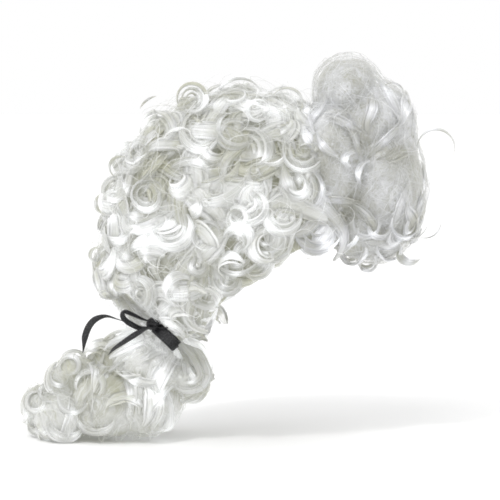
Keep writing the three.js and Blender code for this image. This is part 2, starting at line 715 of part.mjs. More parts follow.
// The hair is made as one body and parted along seams, with a gap between the parts.
function hair(ribbonRoom) {
  const whole = wasm.Manifold.union([
    dome(capInner.clone().multiplyScalar(BED_ROOT), bedOuter, 'hair', facets.bed),
    ...domeCurls(),
    ...pouf(),
    napeGather(),
  ]);
  let rest = whole.subtract(headRoom()).subtract(ribbonRoom);
  const belowTie = tieCentre.clone().addScaledVector(tieAxis, span / 2 - PIECE_GAP / 2);
  const cut = new THREE.BoxGeometry(span, span, span);
  cut.applyQuaternion(new THREE.Quaternion().setFromUnitVectors(vector(0, 0, 1), tieAxis));
  cut.translate(belowTie.x, belowTie.y, belowTie.z);
  const underTie = solidOf(cut).intersect(
    block(vector(-span, -TIE_RADIUS * 2, -span), vector(span, TIE_RADIUS * 2, -TIE_DROP + TIE_RADIUS)),
  );
  rest = rest.subtract(underTie);
  const parts = {};
  const part = (name, inside, room) => {
    parts[name] = largest(rest.intersect(inside));
    rest = rest.subtract(room);
  };
  const front = (at) => block(vector(at, -span, -span), vector(span, span, span));
  part('front_pouf', front(POUF_BACK), front(POUF_BACK - PIECE_GAP));
  const below = (at) => block(vector(-span, -span, -span), vector(span, span, -at));
  part('nape_gather', below(NAPE_LEVEL), below(NAPE_LEVEL - PIECE_GAP));
  const coneDrop = PIECE_GAP / Math.sin(PART_ANGLE * degrees);
  part('crown_curls', crownCone(0), crownCone(coneDrop));
  part('back_curls', backWedge(0), backWedge(PIECE_GAP));
  const side = (way) => (way > 0
    ? block(vector(-span, 0, -span), vector(span, span, span))
    : block(vector(-span, -span, -span), vector(span, 0, span)));
  parts.left_side_curls = largest(rest.intersect(side(1)));
  parts.right_side_curls = largest(rest.intersect(side(-1)));
  const aboveTie = tieCentre.clone().addScaledVector(tieAxis, PIECE_GAP / 2 - span / 2);
  const over = new THREE.BoxGeometry(span, span, span);
  over.applyQuaternion(new THREE.Quaternion().setFromUnitVectors(vector(0, 0, 1), tieAxis));
  over.translate(aboveTie.x, aboveTie.y, aboveTie.z);
  const tail = queue().subtract(ribbonRoom).subtract(solidOf(over).intersect(
    block(vector(-span, -TIE_RADIUS * 2, -TIE_DROP - TIE_RADIUS), vector(span, TIE_RADIUS * 2, 0)),
  ));
  parts.queue_curls = largest(tail.subtract(parts.nape_gather));
  return parts;
}

const white = new THREE.MeshStandardMaterial({ color: 0xecece6, roughness: 0.42, metalness: 0 });
const net = new THREE.MeshStandardMaterial({ color: 0xd9d6cb, roughness: 0.8, metalness: 0 });
const satin = new THREE.MeshStandardMaterial({ color: 0x0c0c0e, roughness: 0.38, metalness: 0 });

const wig = new THREE.Group();
wig.name = 'wig';

function addPiece(name, solid, material) {
  const mesh = solid.getMesh();
  const geometry = new THREE.BufferGeometry();
  geometry.setAttribute('position', new THREE.BufferAttribute(mesh.vertProperties, 3));
  geometry.setIndex(new THREE.BufferAttribute(mesh.triVerts, 1));
  const piece = new THREE.Mesh(geometry, material);
  piece.name = name;
  wig.add(piece);
}

const bow = ribbon();
addPiece('wig_cap', dome(capInner, capOuter, 'cap', facets.cap), net);
Object.entries(hair(bow.taken)).forEach(([name, solid]) => addPiece(name, solid, white));
Object.entries(bow.pieces).forEach(([name, solid]) => addPiece(name, solid, satin));

export default wig;
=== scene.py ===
import math

import bpy
import numpy as np
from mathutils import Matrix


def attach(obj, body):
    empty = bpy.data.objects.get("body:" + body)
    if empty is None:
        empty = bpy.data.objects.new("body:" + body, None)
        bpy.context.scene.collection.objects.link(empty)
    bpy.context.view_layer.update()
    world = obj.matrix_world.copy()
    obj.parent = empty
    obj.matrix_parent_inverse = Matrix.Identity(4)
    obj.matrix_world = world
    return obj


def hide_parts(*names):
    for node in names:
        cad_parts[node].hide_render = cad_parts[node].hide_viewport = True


# Curled white wig with a tied queue. Metres, +X towards the face, +Y the wearer's left, +Z up.
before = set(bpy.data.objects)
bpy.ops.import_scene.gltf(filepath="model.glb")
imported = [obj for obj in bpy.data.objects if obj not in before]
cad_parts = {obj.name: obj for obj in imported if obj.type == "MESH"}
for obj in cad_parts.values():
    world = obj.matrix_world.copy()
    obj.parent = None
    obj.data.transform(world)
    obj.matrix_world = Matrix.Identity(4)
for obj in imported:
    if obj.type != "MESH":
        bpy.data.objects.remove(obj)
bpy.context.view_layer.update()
mm = 0.001
mirror = np.array([1, -1, 1])
left = np.array([0, 1.0, 0])
anyTurn = (0, 6.3)
eitherWay = [-1, 1]
leftward = (0, 1, 0.001)
print("frame loaded")


# Camera: a long lens at the photo's angle. scale is metres for a pixel on the wig's middle
# plane, and headTop the pixel of the frame's origin.
camera = dict(away=2.2, lift=math.radians(5), lens=176.0, sensor=36.0, frame=500,
              scale=0.9 * mm, headTop=(241, 127))
middle = camera["frame"] / 2
cameraPlace = np.array([
    (middle - camera["headTop"][0]) * camera["scale"],
    -camera["away"] * math.cos(camera["lift"]),
    (camera["headTop"][1] - middle) * camera["scale"] + camera["away"] * math.sin(camera["lift"])])


def makeCamera():
    data = bpy.data.cameras.new("camera")
    data.lens, data.sensor_width = camera["lens"], camera["sensor"]
    thing = bpy.data.objects.new("camera", data)
    bpy.context.scene.collection.objects.link(thing)
    thing.location = cameraPlace
    thing.rotation_euler = (math.pi / 2 - camera["lift"], 0, 0)
    bpy.context.scene.camera = thing


# Direction through photo pixels: their offsets on the sensor, turned by the camera's lift.
def photoRays(x, y):
    step = camera["sensor"] / camera["lens"] / camera["frame"]
    right, up = (x - middle) * step, (middle - y) * step
    c, s = math.cos(camera["lift"]), math.sin(camera["lift"])
    return np.stack([right, c + up * s, up * c - s], -1)


makeCamera()
print("camera made")


def unit(v):
    return v / np.maximum(np.linalg.norm(v, axis=-1, keepdims=True), 1e-12)


# Object from arrays: points (n, 3), quads (q, 4), tris (t, 3). fibre holds a pair for each
# corner, quads first, and values hold one number for each point.
def meshPiece(name, points, quads, tris, fibre, values):
    mesh = bpy.data.meshes.new(name)
    corners = np.concatenate([quads.ravel(), tris.ravel()]).astype(np.int32)
    sizes = np.repeat([4, 3], [len(quads), len(tris)]).astype(np.int32)
    mesh.vertices.add(len(points))
    mesh.vertices.foreach_set("co", points.astype(np.float32).ravel())
    mesh.loops.add(len(corners))
    mesh.loops.foreach_set("vertex_index", corners)
    mesh.polygons.add(len(sizes))
    mesh.polygons.foreach_set("loop_start", (np.cumsum(sizes) - sizes).astype(np.int32))
    mesh.polygons.foreach_set("loop_total", sizes)
    mesh.polygons.foreach_set("use_smooth", np.ones(len(sizes), bool))
    mesh.uv_layers.new(name="fibre").data.foreach_set("uv", fibre.astype(np.float32).ravel())
    for key, data in values.items():
        layer = mesh.attributes.new(key, "FLOAT", "POINT")
        layer.data.foreach_set("value", data.astype(np.float32))
    mesh.update(calc_edges=True)
    mesh.validate()
    piece = bpy.data.objects.new(name, mesh)
    bpy.context.scene.collection.objects.link(piece)
    return piece


# Cores: ellipsoids in millimetres, for the head's bed of teased hair and the pouf over the brow.
def ball(centre, radii):
    return dict(centre=np.array(centre) * mm, radii=np.array(radii) * mm)


def grown(bed, by):
    return dict(bed, radii=bed["radii"] + by)


dome = ball([0, 0, -98], [116, 95, 125])
poufMain = ball([122, 0, -53], [43, 71, 66])
poufCores = [poufMain, ball([117, 0, 2], [38, 60, 40]), ball([95, 0, 33], [29, 46, 31]),
             ball([108, 0, -88], [42, 62, 32]), ball([84, 0, -34], [38, 78, 60])]
headRoom = ball([0, 0, -98], [99, 80, 102])
neckRoom = dict(forward=-20 * mm, least=0.05)


# Point of an ellipsoid at a turn round from the face and a fall down from its top.
def onBed(bed, turn, fall):
    out = np.sin(fall)
    way = np.stack([out * np.cos(turn), out * np.sin(turn), np.cos(fall)], -1)
    return bed["centre"] + bed["radii"] * way


def bedNormal(bed, points):
    return unit((points - bed["centre"]) / bed["radii"] ** 2)


# Height above each core: its share of the radii past one, times the mean radius.
def coreHeights(cores, points):
    return np.stack([(np.linalg.norm((points - core["centre"]) / core["radii"], axis=-1) - 1)
                     * core["radii"].mean() for core in cores])


def heightOver(cores, points):
    return coreHeights(cores, points).min(0)


# Points moved along their line from the bed's centre on to it, then out by lift.
def wrapOn(bed, points, lift):
    base = bed["centre"] + bed["radii"] * unit((points - bed["centre"]) / bed["radii"])
    return base + bedNormal(bed, base) * lift[..., None]


# Distance along each ray to an ellipsoid grown by lift: the nearer root of a d^2 + 2 b d + c,
# and b^2 - a c, which is negative for a ray that misses.
def rayMeets(bed, ray, lift):
    radii = bed["radii"] + lift
    way, begin = ray / radii, (cameraPlace - bed["centre"]) / radii
    a, b, c = (way * way).sum(-1), (way * begin).sum(-1), (begin * begin).sum(-1) - 1
    inside = b * b - a * c
    return (-b - np.sqrt(np.maximum(inside, 0))) / a, inside


# Points inside the head's room are moved out to its wall. Below its widest level the wall in
# front goes straight down, so the face stays free.
def clearHead(points):
    way = (points - headRoom["centre"]) / headRoom["radii"]
    low = (way[..., 2] < 0) & (points[..., 0] > neckRoom["forward"])
    flat = np.where(low[..., None], way * [1, 1, 0], way)
    size = np.linalg.norm(flat, axis=-1)
    push = np.where(size < 1, 1 / np.maximum(size, neckRoom["least"]), 1.0)[..., None]
    return headRoom["centre"] + (way + flat * (push - 1)) * headRoom["radii"]


# Tie: its axis, centre and radius as in the frame, and how the hair is held in near the band.
tie = dict(centre=np.array([-67, 0, -188]) * mm, axis=unit(np.array([-1.0, 0, -1.0])), radius=15 * mm,
           snug=0.5 * mm, held=5.5 * mm, opening=2.4, reach=60 * mm, reachBelow=24 * mm, easing=3)
tieOver = np.cross(tie["axis"], left)


# Directions across the tie's axis at an angle round it: cos a over it and sin a to the left.
def aroundTie(a):
    return np.cos(a)[..., None] * tieOver + np.sin(a)[..., None] * left


# The radius about the tie's axis is at most its own, plus opening times the distance past the
# band, and this eases off towards the reach.
def holdAtTie(points):
    off = points - tie["centre"]
    along = off @ tie["axis"]
    out = off - along[..., None] * tie["axis"]
    size = np.linalg.norm(out, axis=-1)
    past = np.maximum(np.abs(along) - tie["held"], 0)
    limit = tie["radius"] - tie["snug"] + tie["opening"] * past
    reach = np.where(along > 0, tie["reachBelow"], tie["reach"])
    held = np.clip((1 - size / reach) * tie["easing"], 0, 1)
    share = np.minimum(1, limit / np.maximum(size, 1 * mm))
    return points + out * ((share - 1) * held)[..., None]


# Room for the ribbon: the (x, z) line that it follows, and the depth that stays clear.
ribbonRoom = dict(first=np.array([-106, -161]) * mm, last=np.array([-54, -202]) * mm, front=-5 * mm,
                  wide=8 * mm, ease=9 * mm, relief=6 * mm, fade=20 * mm)


# Points in front of the ribbon's line are laid back behind it, to relief * tanh(depth / fade):
# all the way within wide of the line, and less and less over ease.
def clearRibbon(points):
    flat = points[..., [0, 2]]
    line = ribbonRoom["last"] - ribbonRoom["first"]
    share = np.clip(((flat - ribbonRoom["first"]) @ line) / (line @ line), 0, 1)
    size = np.linalg.norm(flat - (ribbonRoom["first"] + share[..., None] * line), axis=-1)
    kept = np.clip((size - ribbonRoom["wide"]) / ribbonRoom["ease"], 0, 1)
    over = np.minimum(points[..., 1] - ribbonRoom["front"], 0)
    laid = over - ribbonRoom["relief"] * np.tanh(over / ribbonRoom["fade"])
    moved = points.copy()
    moved[..., 1] -= laid * (1 - kept)
    return moved


# Locks: flat ridged bands of hair swept along a path, with strands laid over them.
lockForm = dict(opening=2.2, closing=0.45, closed=0.55, power=1.5, ridge=0.12, lump=0.6, lumps=3, butt=0.3,
                strip=(0.4, 0.8), stripThin=0.3, stripTone=0.12, strand=(0.6, 1.3), strandTone=0.22,
                shine=(0.15, 0.85), stripSink=0.9, stripFlare=0.5, stripTip=0.2, strandOut=1.05,
                strandOver=1.3, strandTip=0.3)
strandForm = dict(edge=0.9, onTop=0.72, wave=0.10, waves=(4, 11), shift=6.3, tip=0.3)


# Directions along a path, across it and out of its face.
def bandFrame(path, face):
    tangent = unit(np.gradient(path, axis=1))
    across = unit(np.cross(tangent, face))
    return tangent, across, np.cross(across, tangent)


# Share of full width along a lock: it opens from the root and closes towards the tip.
def swelling(t, tip):
    close = np.clip((t - lockForm["closing"]) / lockForm["closed"], 0, 1) ** lockForm["power"]
    return np.minimum(1, tip + lockForm["opening"] * t) * (1 - (1 - tip) * close)


# Section r(a) = 1 + ridge * (-1)^k, scaled by wide and deep, set across each point of the path.
def sweep(path, face, wide, deep, sides, ridge, tip, local):
    locks, steps = path.shape[:2]
    tangent, across, out = bandFrame(path, face)
    swell = swelling(np.linspace(0, 1, steps), tip)
    angle = 2 * np.pi * np.arange(sides) / sides
    phase = local.uniform(*anyTurn, locks)[:, None]
    lump = lockForm["lump"] * ridge * np.sin(lockForm["lumps"] * angle + phase)
    radial = 1 + ridge * (-1.0) ** np.arange(sides) + lump
    u = (wide[:, None, None] * swell[None, :, None]) * (radial * np.cos(angle))[:, None, :]
    v = (deep[:, None, None] * swell[None, :, None]) * (radial * np.sin(angle))[:, None, :]
    ring = path[:, :, None] + u[..., None] * across[:, :, None] + v[..., None] * out[:, :, None]
    ends = np.stack([path[:, 0] - tangent[:, 0] * deep[:, None] * lockForm["butt"],
                     path[:, -1] + tangent[:, -1] * deep[:, None] * tip], 1)
    return ring, ends


# Strands side by side on a band: an offset w across it, the band's own curve over it, and a
# drift that grows with the square of the way along.
def strandPaths(path, face, wide, deep, count, flare, local):
    locks, steps = path.shape[:2]
    tangent, across, out = bandFrame(path, face)
    t = np.linspace(0, 1, steps)
    swell = swelling(t, strandForm["tip"])
    w = np.linspace(-strandForm["edge"], strandForm["edge"], count)
    w = w + local.uniform(-1, 1, (locks, count)) / count
    side = np.where(local.random((locks, count)) < strandForm["onTop"], 1.0, -1.0)
    over = side * np.sqrt(np.clip(1 - w * w, 0, 1))
    drift = local.normal(0, flare, (locks, count, 2))
    waves = local.uniform(*strandForm["waves"], (locks, count))[..., None]
    wave = strandForm["wave"] * np.sin(waves * t + strandForm["shift"] * w[..., None])
    u = (w[..., None] * swell + drift[..., :1] * t ** 2 + wave) * wide[:, None, None]
    v = over[..., None] * swell * deep[:, None, None] + drift[..., 1:] * t ** 2 * wide[:, None, None]
    points = path[:, None] + u[..., None] * across[:, None] + v[..., None] * out[:, None]
    faces = np.broadcast_to(out[:, None], points.shape)
    return points.reshape(-1, steps, 3), faces.reshape(-1, steps, 3)


# Quads between neighbour sections and a fan of triangles at each end, for every lock.
def lockFaces(locks, steps, sides):
    s, p = np.meshgrid(np.arange(steps - 1), np.arange(sides), indexing="ij")
    q = (p + 1) % sides
    quad = np.stack([s * sides + p, s * sides + q, (s + 1) * sides + q, (s + 1) * sides + p], -1)
    p, q, top = p[0], q[0], (steps - 1) * sides
    fans = np.concatenate([np.stack([np.full(sides, top + sides), q, p], -1),
                           np.stack([np.full(sides, top + sides + 1), top + p, top + q], -1)])
    base = (np.arange(locks) * (steps * sides + 2))[:, None, None]
    return (quad.reshape(-1, 4) + base).reshape(-1, 4), (fans + base).reshape(-1, 3)


# Maps: metres along and across each lock, shifted for each, for its quads and then its fans.
mapForm = dict(step=0.618, shift=7, across=4, sideShift=3)


def lockMaps(locks, steps, sides, length, wide):
    s, p = np.meshgrid(np.arange(steps - 1), np.arange(sides), indexing="ij")
    quad = np.stack([np.stack([s, s, s + 1, s + 1], -1), np.stack([p, p + 1, p + 1, p], -1)], -1)
    k = np.arange(sides)
    first = np.stack([np.tile([-0.5, 0, 0], (sides, 1)), np.stack([k + 0.5, k + 1, k], -1)], -1)
    last = np.stack([np.tile([-0.5, -1, -1], (sides, 1)) + steps, np.stack([k + 0.5, k, k + 1], -1)], -1)
    shift = (np.arange(locks) * mapForm["step"] % 1 * mapForm["shift"])[:, None, None]

    def spread(corner):
        along = corner[..., 0] / (steps - 1) * length[:, None, None] + shift
        around = corner[..., 1] / sides * wide[:, None, None] * mapForm["across"]
        return np.stack([along, around + shift * mapForm["sideShift"]], -1).reshape(-1, 2)

    return spread(quad.reshape(-1, 4, 2)), spread(np.concatenate([first, last]))


# Tone: painted shade and light. A lock is painted lighter with its height over the cores and darker deep
# among them, where shade falls, and a painted highlight sits where it shines, in shares of its length. The
# pouf is painted lighter towards its top, as lit from above.
toning = dict(height=0.22, depth=(-0.3, 1), middle=0.5, shine=0.6, spread=0.12,
              coreLight=0.04, lockLight=0.12, topRise=30 * mm)


def topLight(points, light):
    return light * np.clip(points[:, 2] / toning["topRise"], 0, 1)


# Hair of one piece: it collects bands, strands and cores and makes one mesh of them.
class Hair:
    def __init__(self, name, nodes, cores, toneHeight=14 * mm, low=-1.0):
        self.name, self.nodes, self.cores = name, nodes, cores
        self.toneHeight, self.low, self.parts = toneHeight, low, []

    def keep(self, points, quads, tris, quadMap, triMap, tone, frizz=0.0):
        points[:, 2] = np.maximum(points[:, 2], self.low)
        self.parts.append((points, quads, tris, quadMap, triMap, tone, np.full(len(points), frizz)))

    # Swept locks, with painted shade by their height over the cores and a painted highlight round the place
    # where each shines.
    def tubes(self, path, face, wide, deep, tone, sides, ridge, tip, local, shine=None):
        locks, steps = path.shape[:2]
        if locks == 0:
            return
        ring, ends = sweep(path, face, wide, deep, sides, ridge, tip, local)
        points = np.concatenate([ring.reshape(locks, -1, 3), ends], 1).reshape(-1, 3)
        length = np.linalg.norm(np.diff(path, axis=1), axis=-1).sum(1)
        height = np.clip(heightOver(self.cores, points) / self.toneHeight, *toning["depth"])
        tones = np.repeat(tone, steps * sides + 2) + toning["height"] * (height - toning["middle"])
        if shine is not None:
            off = (np.linspace(0, 1, steps) - shine[:, None]) / toning["spread"]
            glow = toning["shine"] * np.exp(-off ** 2)
            tones += np.concatenate([np.repeat(glow, sides, axis=1), glow[:, [0, -1]]], 1).ravel()
        maps = lockMaps(locks, steps, sides, length, wide)
        self.keep(points, *lockFaces(locks, steps, sides), *maps, tones)

    def fine(self, path, face, size, tone, tip, local, shine=None):
        self.tubes(path, face, size, size, tone, 3, 0, tip, local, shine)

    # For each path a flat band, narrow strips on it and finer strands over them.
    def add(self, path, face, wide, deep, tone, seed, strips=2, strands=4, thick=0.3 * mm,
            flare=0.3, tip=0.12):
        if len(path) == 0:
            return
        local = np.random.default_rng(seed)
        shine = local.uniform(*lockForm["shine"], len(path))
        self.tubes(path, face, wide, deep, tone, 8, lockForm["ridge"], tip, local, shine)
        if strips:
            paths, faces = strandPaths(path, face, wide, deep * lockForm["stripSink"], strips,
                                       flare * lockForm["stripFlare"], local)
            width = np.repeat(wide, strips) * local.uniform(*lockForm["strip"], len(paths)) / strips
            tones = np.repeat(tone, strips) + local.normal(0.0, lockForm["stripTone"], len(paths))
            self.tubes(paths, faces, width, width * lockForm["stripThin"], tones, 4, 0,
                       lockForm["stripTip"], local, np.repeat(shine, strips))
        if strands:
            paths, faces = strandPaths(path, face, wide * lockForm["strandOut"],
                                       deep * lockForm["strandOver"], strands, flare, local)
            size = thick * local.uniform(*lockForm["strand"], len(paths))
            tones = np.repeat(tone, strands) + local.normal(0.0, lockForm["strandTone"], len(paths))
            self.fine(paths, faces, size, tones, lockForm["strandTip"], local, np.repeat(shine, strands))

    # Closed ball, lumpy by lump sin f times the sum of two products of sines, of 3 f and 2 a and
    # of 5 f and 4 a, each with its own shift. Its fibres run round the direction along.
    def core(self, bed, along, tone, seed, lump=0.05, around=36, down=20, frizz=0.4):
        local = np.random.default_rng(seed)
        along = unit(np.asarray(along, float))
        side = unit(np.cross([0, 0, 1.0], along))
        fall = np.pi * (np.arange(down) + 1) / (down + 1)
        f, a = np.meshgrid(fall, 2 * np.pi * np.arange(around) / around, indexing="ij")
        wave = local.uniform(*anyTurn, 4)
        bump = 1 + lump * (np.sin(3 * f + wave[0]) * np.sin(2 * a + wave[1])
                           + np.sin(5 * f + wave[2]) * np.sin(4 * a + wave[3])) * np.sin(f)
        parts = np.stack([np.cos(f), np.sin(f) * np.cos(a), np.sin(f) * np.sin(a)], -1) * bump[..., None]
        radii = bed["radii"]
        basis = np.stack([along, side, np.cross(along, side)]) * radii[:, None]
        points = np.concatenate([(parts @ basis).reshape(-1, 3), [basis[0], -basis[0]]]) + bed["centre"]
        quadMap, triMap = lockMaps(1, down, around, radii[:1] * 2, radii[1:2] * 1.6)
        # Its tone is painted lighter towards the top, as lit from above.
        self.keep(points, *lockFaces(1, down, around), quadMap[:, ::-1] + seed, triMap[:, ::-1] + seed,
                  tone + topLight(points, toning["coreLight"]), frizz)

    def make(self, material, slot="white_hair", clear=True):
        points, quads, tris, quadMaps, triMaps, tones, frizz = zip(*self.parts)
        starts = np.cumsum([0] + [len(part) for part in points])
        quads = np.concatenate([part + start for part, start in zip(quads, starts)])
        tris = np.concatenate([part + start for part, start in zip(tris, starts)])
        points = np.concatenate(points)
        if clear:
            points = holdAtTie(clearRibbon(clearHead(points)))
        piece = meshPiece(self.name, points, quads, tris, np.concatenate(quadMaps + triMaps),
                          {"tone": np.concatenate(tones), "frizz": np.concatenate(frizz)})
        piece.data.materials.append(material)
        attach(piece, "root")
        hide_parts(*self.nodes)
        faces = 2 * len(quads) + len(tris)
        print(self.name, faces, "triangles")
        return faces


# Two directions across the normal, the first turned by spin from straight down.
def tangentFrame(normal, spin):
    down = np.zeros_like(normal)
    down[..., 2] = -1
    first = unit(down - normal * (down * normal).sum(-1, keepdims=True) + 1e-6)
    second = np.cross(normal, first)
    c, s = np.cos(spin)[..., None], np.sin(spin)[..., None]
    return first * c + second * s, second * c - first * s


# Spiral: place + r (cos a U + sin a V) + climb (t - level) A, on a ring tipped by lean.
level = 0.4


def ringletPaths(place, normal, spin, radius, turns, shrink, lean, climb, steps):
    u, v = tangentFrame(normal, spin)
    axis = normal * np.cos(lean)[:, None] + u * np.sin(lean)[:, None]
    u = u * np.cos(lean)[:, None] - normal * np.sin(lean)[:, None]
    t = np.linspace(0, 1, steps)
    a = 2 * np.pi * turns[:, None] * t
    r = radius[:, None] * (1 - shrink[:, None] * t)
    path = place[:, None] + (r * np.cos(a))[..., None] * u[:, None] + (r * np.sin(a))[..., None] * v[:, None]
    path = path + (climb[:, None] * (t - level))[..., None] * axis[:, None]
    return path, unit(path - place[:, None] + 1e-9), axis


# S-curve on the bed: along by length (t - 1/2), across by bend (sin 2 pi t + skew sin pi t), and
# out by lift (sin pi t) ^ power less sink (1 - sin pi t), so that its ends dip in.
swoosh = dict(skew=0.35, power=0.7, sink=2 * mm)


def swooshPaths(bed, place, normal, spin, length, bend, lift, steps):
    u, v = tangentFrame(normal, spin)
    t = np.linspace(0, 1, steps)
    along = length[:, None] * (t - 0.5)
    arch = np.sin(np.pi * t)
    across = bend[:, None] * np.sin(2 * np.pi * t) + swoosh["skew"] * bend[:, None] * arch
    flat = place[:, None] + along[..., None] * u[:, None] + across[..., None] * v[:, None]
    rise = lift[:, None] * arch ** swoosh["power"] - swoosh["sink"] * (1 - arch)
    path = wrapOn(bed, flat, rise)
    return path, bedNormal(bed, path)


# Draws n of a layer's values by name: evenly over a pair, from a list, or about 0 by a spread.
def drawer(layer, n, local):
    def draw(name):
        span = layer[name]
        if isinstance(span, list):
            return local.choice(span, n)
        return local.uniform(*span, n) if isinstance(span, tuple) else local.normal(0, span, n)

    return draw


# Ringlets with their values drawn from a layer, wound the way that is given or either way.
def curls(layer, place, normal, draw, way=None):
    spin = draw("spin") if way is None else layer["spin"] * way
    radius, turns = draw("radius"), draw("turns")
    turns = turns * (draw("way") if way is None else way)
    return ringletPaths(place, normal, spin, radius, turns, draw("shrink"), draw("lean"),
                        draw("climb") * mm, layer["steps"])


# Faces between straight out from a curl and along its axis.
def tipped(outward, axis, tilt):
    return unit(outward + tilt[:, None, None] * axis[:, None])


# A wrapped socket: sums on it add Math nodes.
class Value:
    def __init__(self, shader, link):
        self.shader, self.link = shader, link

    def maths(self, kind, first, second):
        return self.shader.node("ShaderNodeMath", {"operation": kind}, [first, second])

    def __add__(self, other):
        return self.maths("ADD", self, other)

    def __sub__(self, other):
        return self.maths("SUBTRACT", self, other)

    def __rsub__(self, other):
        return self.maths("SUBTRACT", other, self)

    def __mul__(self, other):
        return self.maths("MULTIPLY", self, other)

    __radd__, __rmul__ = __add__, __mul__

    def between(self, low, high):
        return self.shader.node("ShaderNodeMapRange", {"interpolation_type": "SMOOTHSTEP"},
                                {"Value": self, "From Min": low, "From Max": high})


# A material whose nodes come from one method: type, settings, then socket values or links.
class Shader:
    def __init__(self, name, **fixed):
        self.material = bpy.data.materials.new(name)
        self.material.use_nodes = True
        self.tree = self.material.node_tree
        self.surface = self.tree.nodes["Principled BSDF"]
        for key, value in fixed.items():
            self.surface.inputs[key.replace("_", " ")].default_value = value

    def node(self, kind, settings, sockets, out=0):
        made = self.tree.nodes.new(kind)
        for key, value in settings.items():
            if key == "stops":
                ramp = made.color_ramp.elements
                while len(ramp) < len(value):
                    ramp.new(0.5)
                for stop, (place, colour) in zip(ramp, value):
                    stop.position, stop.color = place, (*colour, 1)
            else:
                setattr(made, key, value)
        for key, value in sockets.items() if isinstance(sockets, dict) else enumerate(sockets):
            self.put(made.inputs[key], value)
        return Value(self, made.outputs[out])

    def put(self, socket, value):
        if isinstance(value, Value):
            self.tree.links.new(value.link, socket)
        elif isinstance(value, tuple) and socket.type == "RGBA":
            socket.default_value = (*value, 1)
        else:
            socket.default_value = value

    def feed(self, name, value):
        self.put(self.surface.inputs[name], value)

    def vector(self, kind, sockets):
        return self.node("ShaderNodeVectorMath", {"operation": kind}, sockets)

    def noise(self, place, scale, out=0):
        return self.node("ShaderNodeTexNoise", {}, {"Vector": place, "Scale": scale, "Detail": 2.0}, out)

    def bump(self, height, strength, distance, invert=False):
        self.feed("Normal", self.node("ShaderNodeBump", {"invert": invert}, {
            "Strength": strength, "Distance": distance, "Height": height}))

    def mix(self, share, first, second):
        return self.node("ShaderNodeMix", {"data_type": "RGBA"}, {0: share, 6: first, 7: second}, 2)


# White fibre: its ramp goes from the painted shade between locks to their painted lit tops; scatter is the
# strength of a painted glow in the same colour, which lifts the shade.
hairFinish = dict(
    stops=[(0.0, (0.33, 0.33, 0.255)), (0.4, (0.455, 0.46, 0.435)), (0.78, (0.575, 0.58, 0.57)),
           (1.0, (0.86, 0.87, 0.87))],
    rough=0.38, roughen=0.25, scatter=0.29, soft=0.8, depth=7 * mm, softTint=(1.0, 1.0, 0.9),
    streakAlong=20, streakAround=640, streaky=1.05, frizzy=1.1, patches=20.0, patchy=1.9,
    swirls=90.0, swirl=0.04, detail=3.0, coarse=0.65, bump=0.14, relief=1.6 * mm, shade=-0.25, light=1.3)
teasedFinish = dict(hairFinish, stops=[
    (0.0, (0.33, 0.33, 0.29)), (0.4, (0.455, 0.46, 0.46)), (0.78, (0.575, 0.58, 0.59)),
    (1.0, (0.86, 0.87, 0.88))])


# Tone of the lock, plus streaks of noise stretched along it and stronger where it frizzes, plus
# wide patches, eased from shade to light.
def hairMaterial(name, settings):
    s = Shader(name, Roughness=settings["rough"], Subsurface_Weight=settings["soft"],
               Subsurface_Scale=settings["depth"], Subsurface_Radius=settings["softTint"],
               Emission_Strength=settings["scatter"])
    fibre = s.node("ShaderNodeUVMap", {"uv_map": "fibre"}, [])
    place = s.node("ShaderNodeTexCoord", {}, [], 3)
    frizz, tone = (s.node("ShaderNodeAttribute", {"attribute_name": key}, [], 2) for key in ("frizz", "tone"))
    swirl = s.vector("SUBTRACT", [s.noise(place, settings["swirls"], 1), (0.5, 0.5, 0.5)])
    swirl = s.vector("SCALE", {0: swirl, 3: frizz * settings["swirl"]})
    wide = s.node("ShaderNodeMapping", {}, {
        "Vector": s.vector("ADD", [fibre, swirl]),
        "Scale": (settings["streakAlong"], settings["streakAround"], 1)})
    streak = s.node("ShaderNodeTexNoise", {"noise_dimensions": "2D"},
                    {"Vector": wide, "Scale": 1.0, "Detail": settings["detail"],
                     "Roughness": settings["coarse"]}) - 0.5
    patch = s.noise(place, settings["patches"]) - 0.5
    blend = tone + streak * (frizz * settings["frizzy"] + settings["streaky"]) + patch * settings["patchy"]
    colour = s.node("ShaderNodeValToRGB", {"stops": settings["stops"]},
                    {"Fac": blend.between(settings["shade"], settings["light"])})
    s.feed("Base Color", colour)
    # Painted glow: the same colour is also emitted, at scatter strength, and lifts the shade between locks.
    s.feed("Emission Color", colour)
    s.feed("Roughness", streak * settings["roughen"] + settings["rough"])
    s.bump(streak, settings["bump"], settings["relief"])
    return s.material


hairWhite = hairMaterial("white fibre", hairFinish)
teasedWhite = hairMaterial("teased white fibre", teasedFinish)
print("materials made")


# Hem of the hair: its drop below the top of the head at each turn from the face to the back.
hem = dict(turn=[0, 35, 70, 90, 110, 130, 150, 180],
           share=[0.62, 0.88, 1.08, 1.27, 1.6, 1.74, 1.82, 1.84])


def hemFall(turn):
    around = np.abs((np.degrees(turn) + 180) % 360 - 180)
    return np.arccos(1 - np.interp(around, hem["turn"], hem["share"]))


# Turns and falls by the golden angle, so that each has an equal area of a ball, jittered.
goldenAngle = math.radians(137.508)


def scatterOn(count, jitter, local, lowest=0.97):
    k = np.arange(count) + 0.5
    fall = np.arccos(1 - 2 * lowest * k / count) + local.uniform(-jitter, jitter, count)
    turn = (k * goldenAngle + local.uniform(-jitter, jitter, count)) % (2 * np.pi)
    return turn, fall


# Regions: the pouf is all that lies past a line in front, the crown a cone, the back a wedge.
regions = dict(pouf=62 * mm, crownAngle=50, backAngle=52)
headCores = [dome, *poufCores]
hair = [
    Hair(name, [node], headCores) for name, node in [
        ("crown_hair", "crown_curls"), ("back_hair", "back_curls"), ("left_side_hair", "left_side_curls"),
        ("right_side_hair", "right_side_curls"), ("pouf_hair", "front_pouf")]]
crown, back, front = hair[0], hair[1], hair[4]


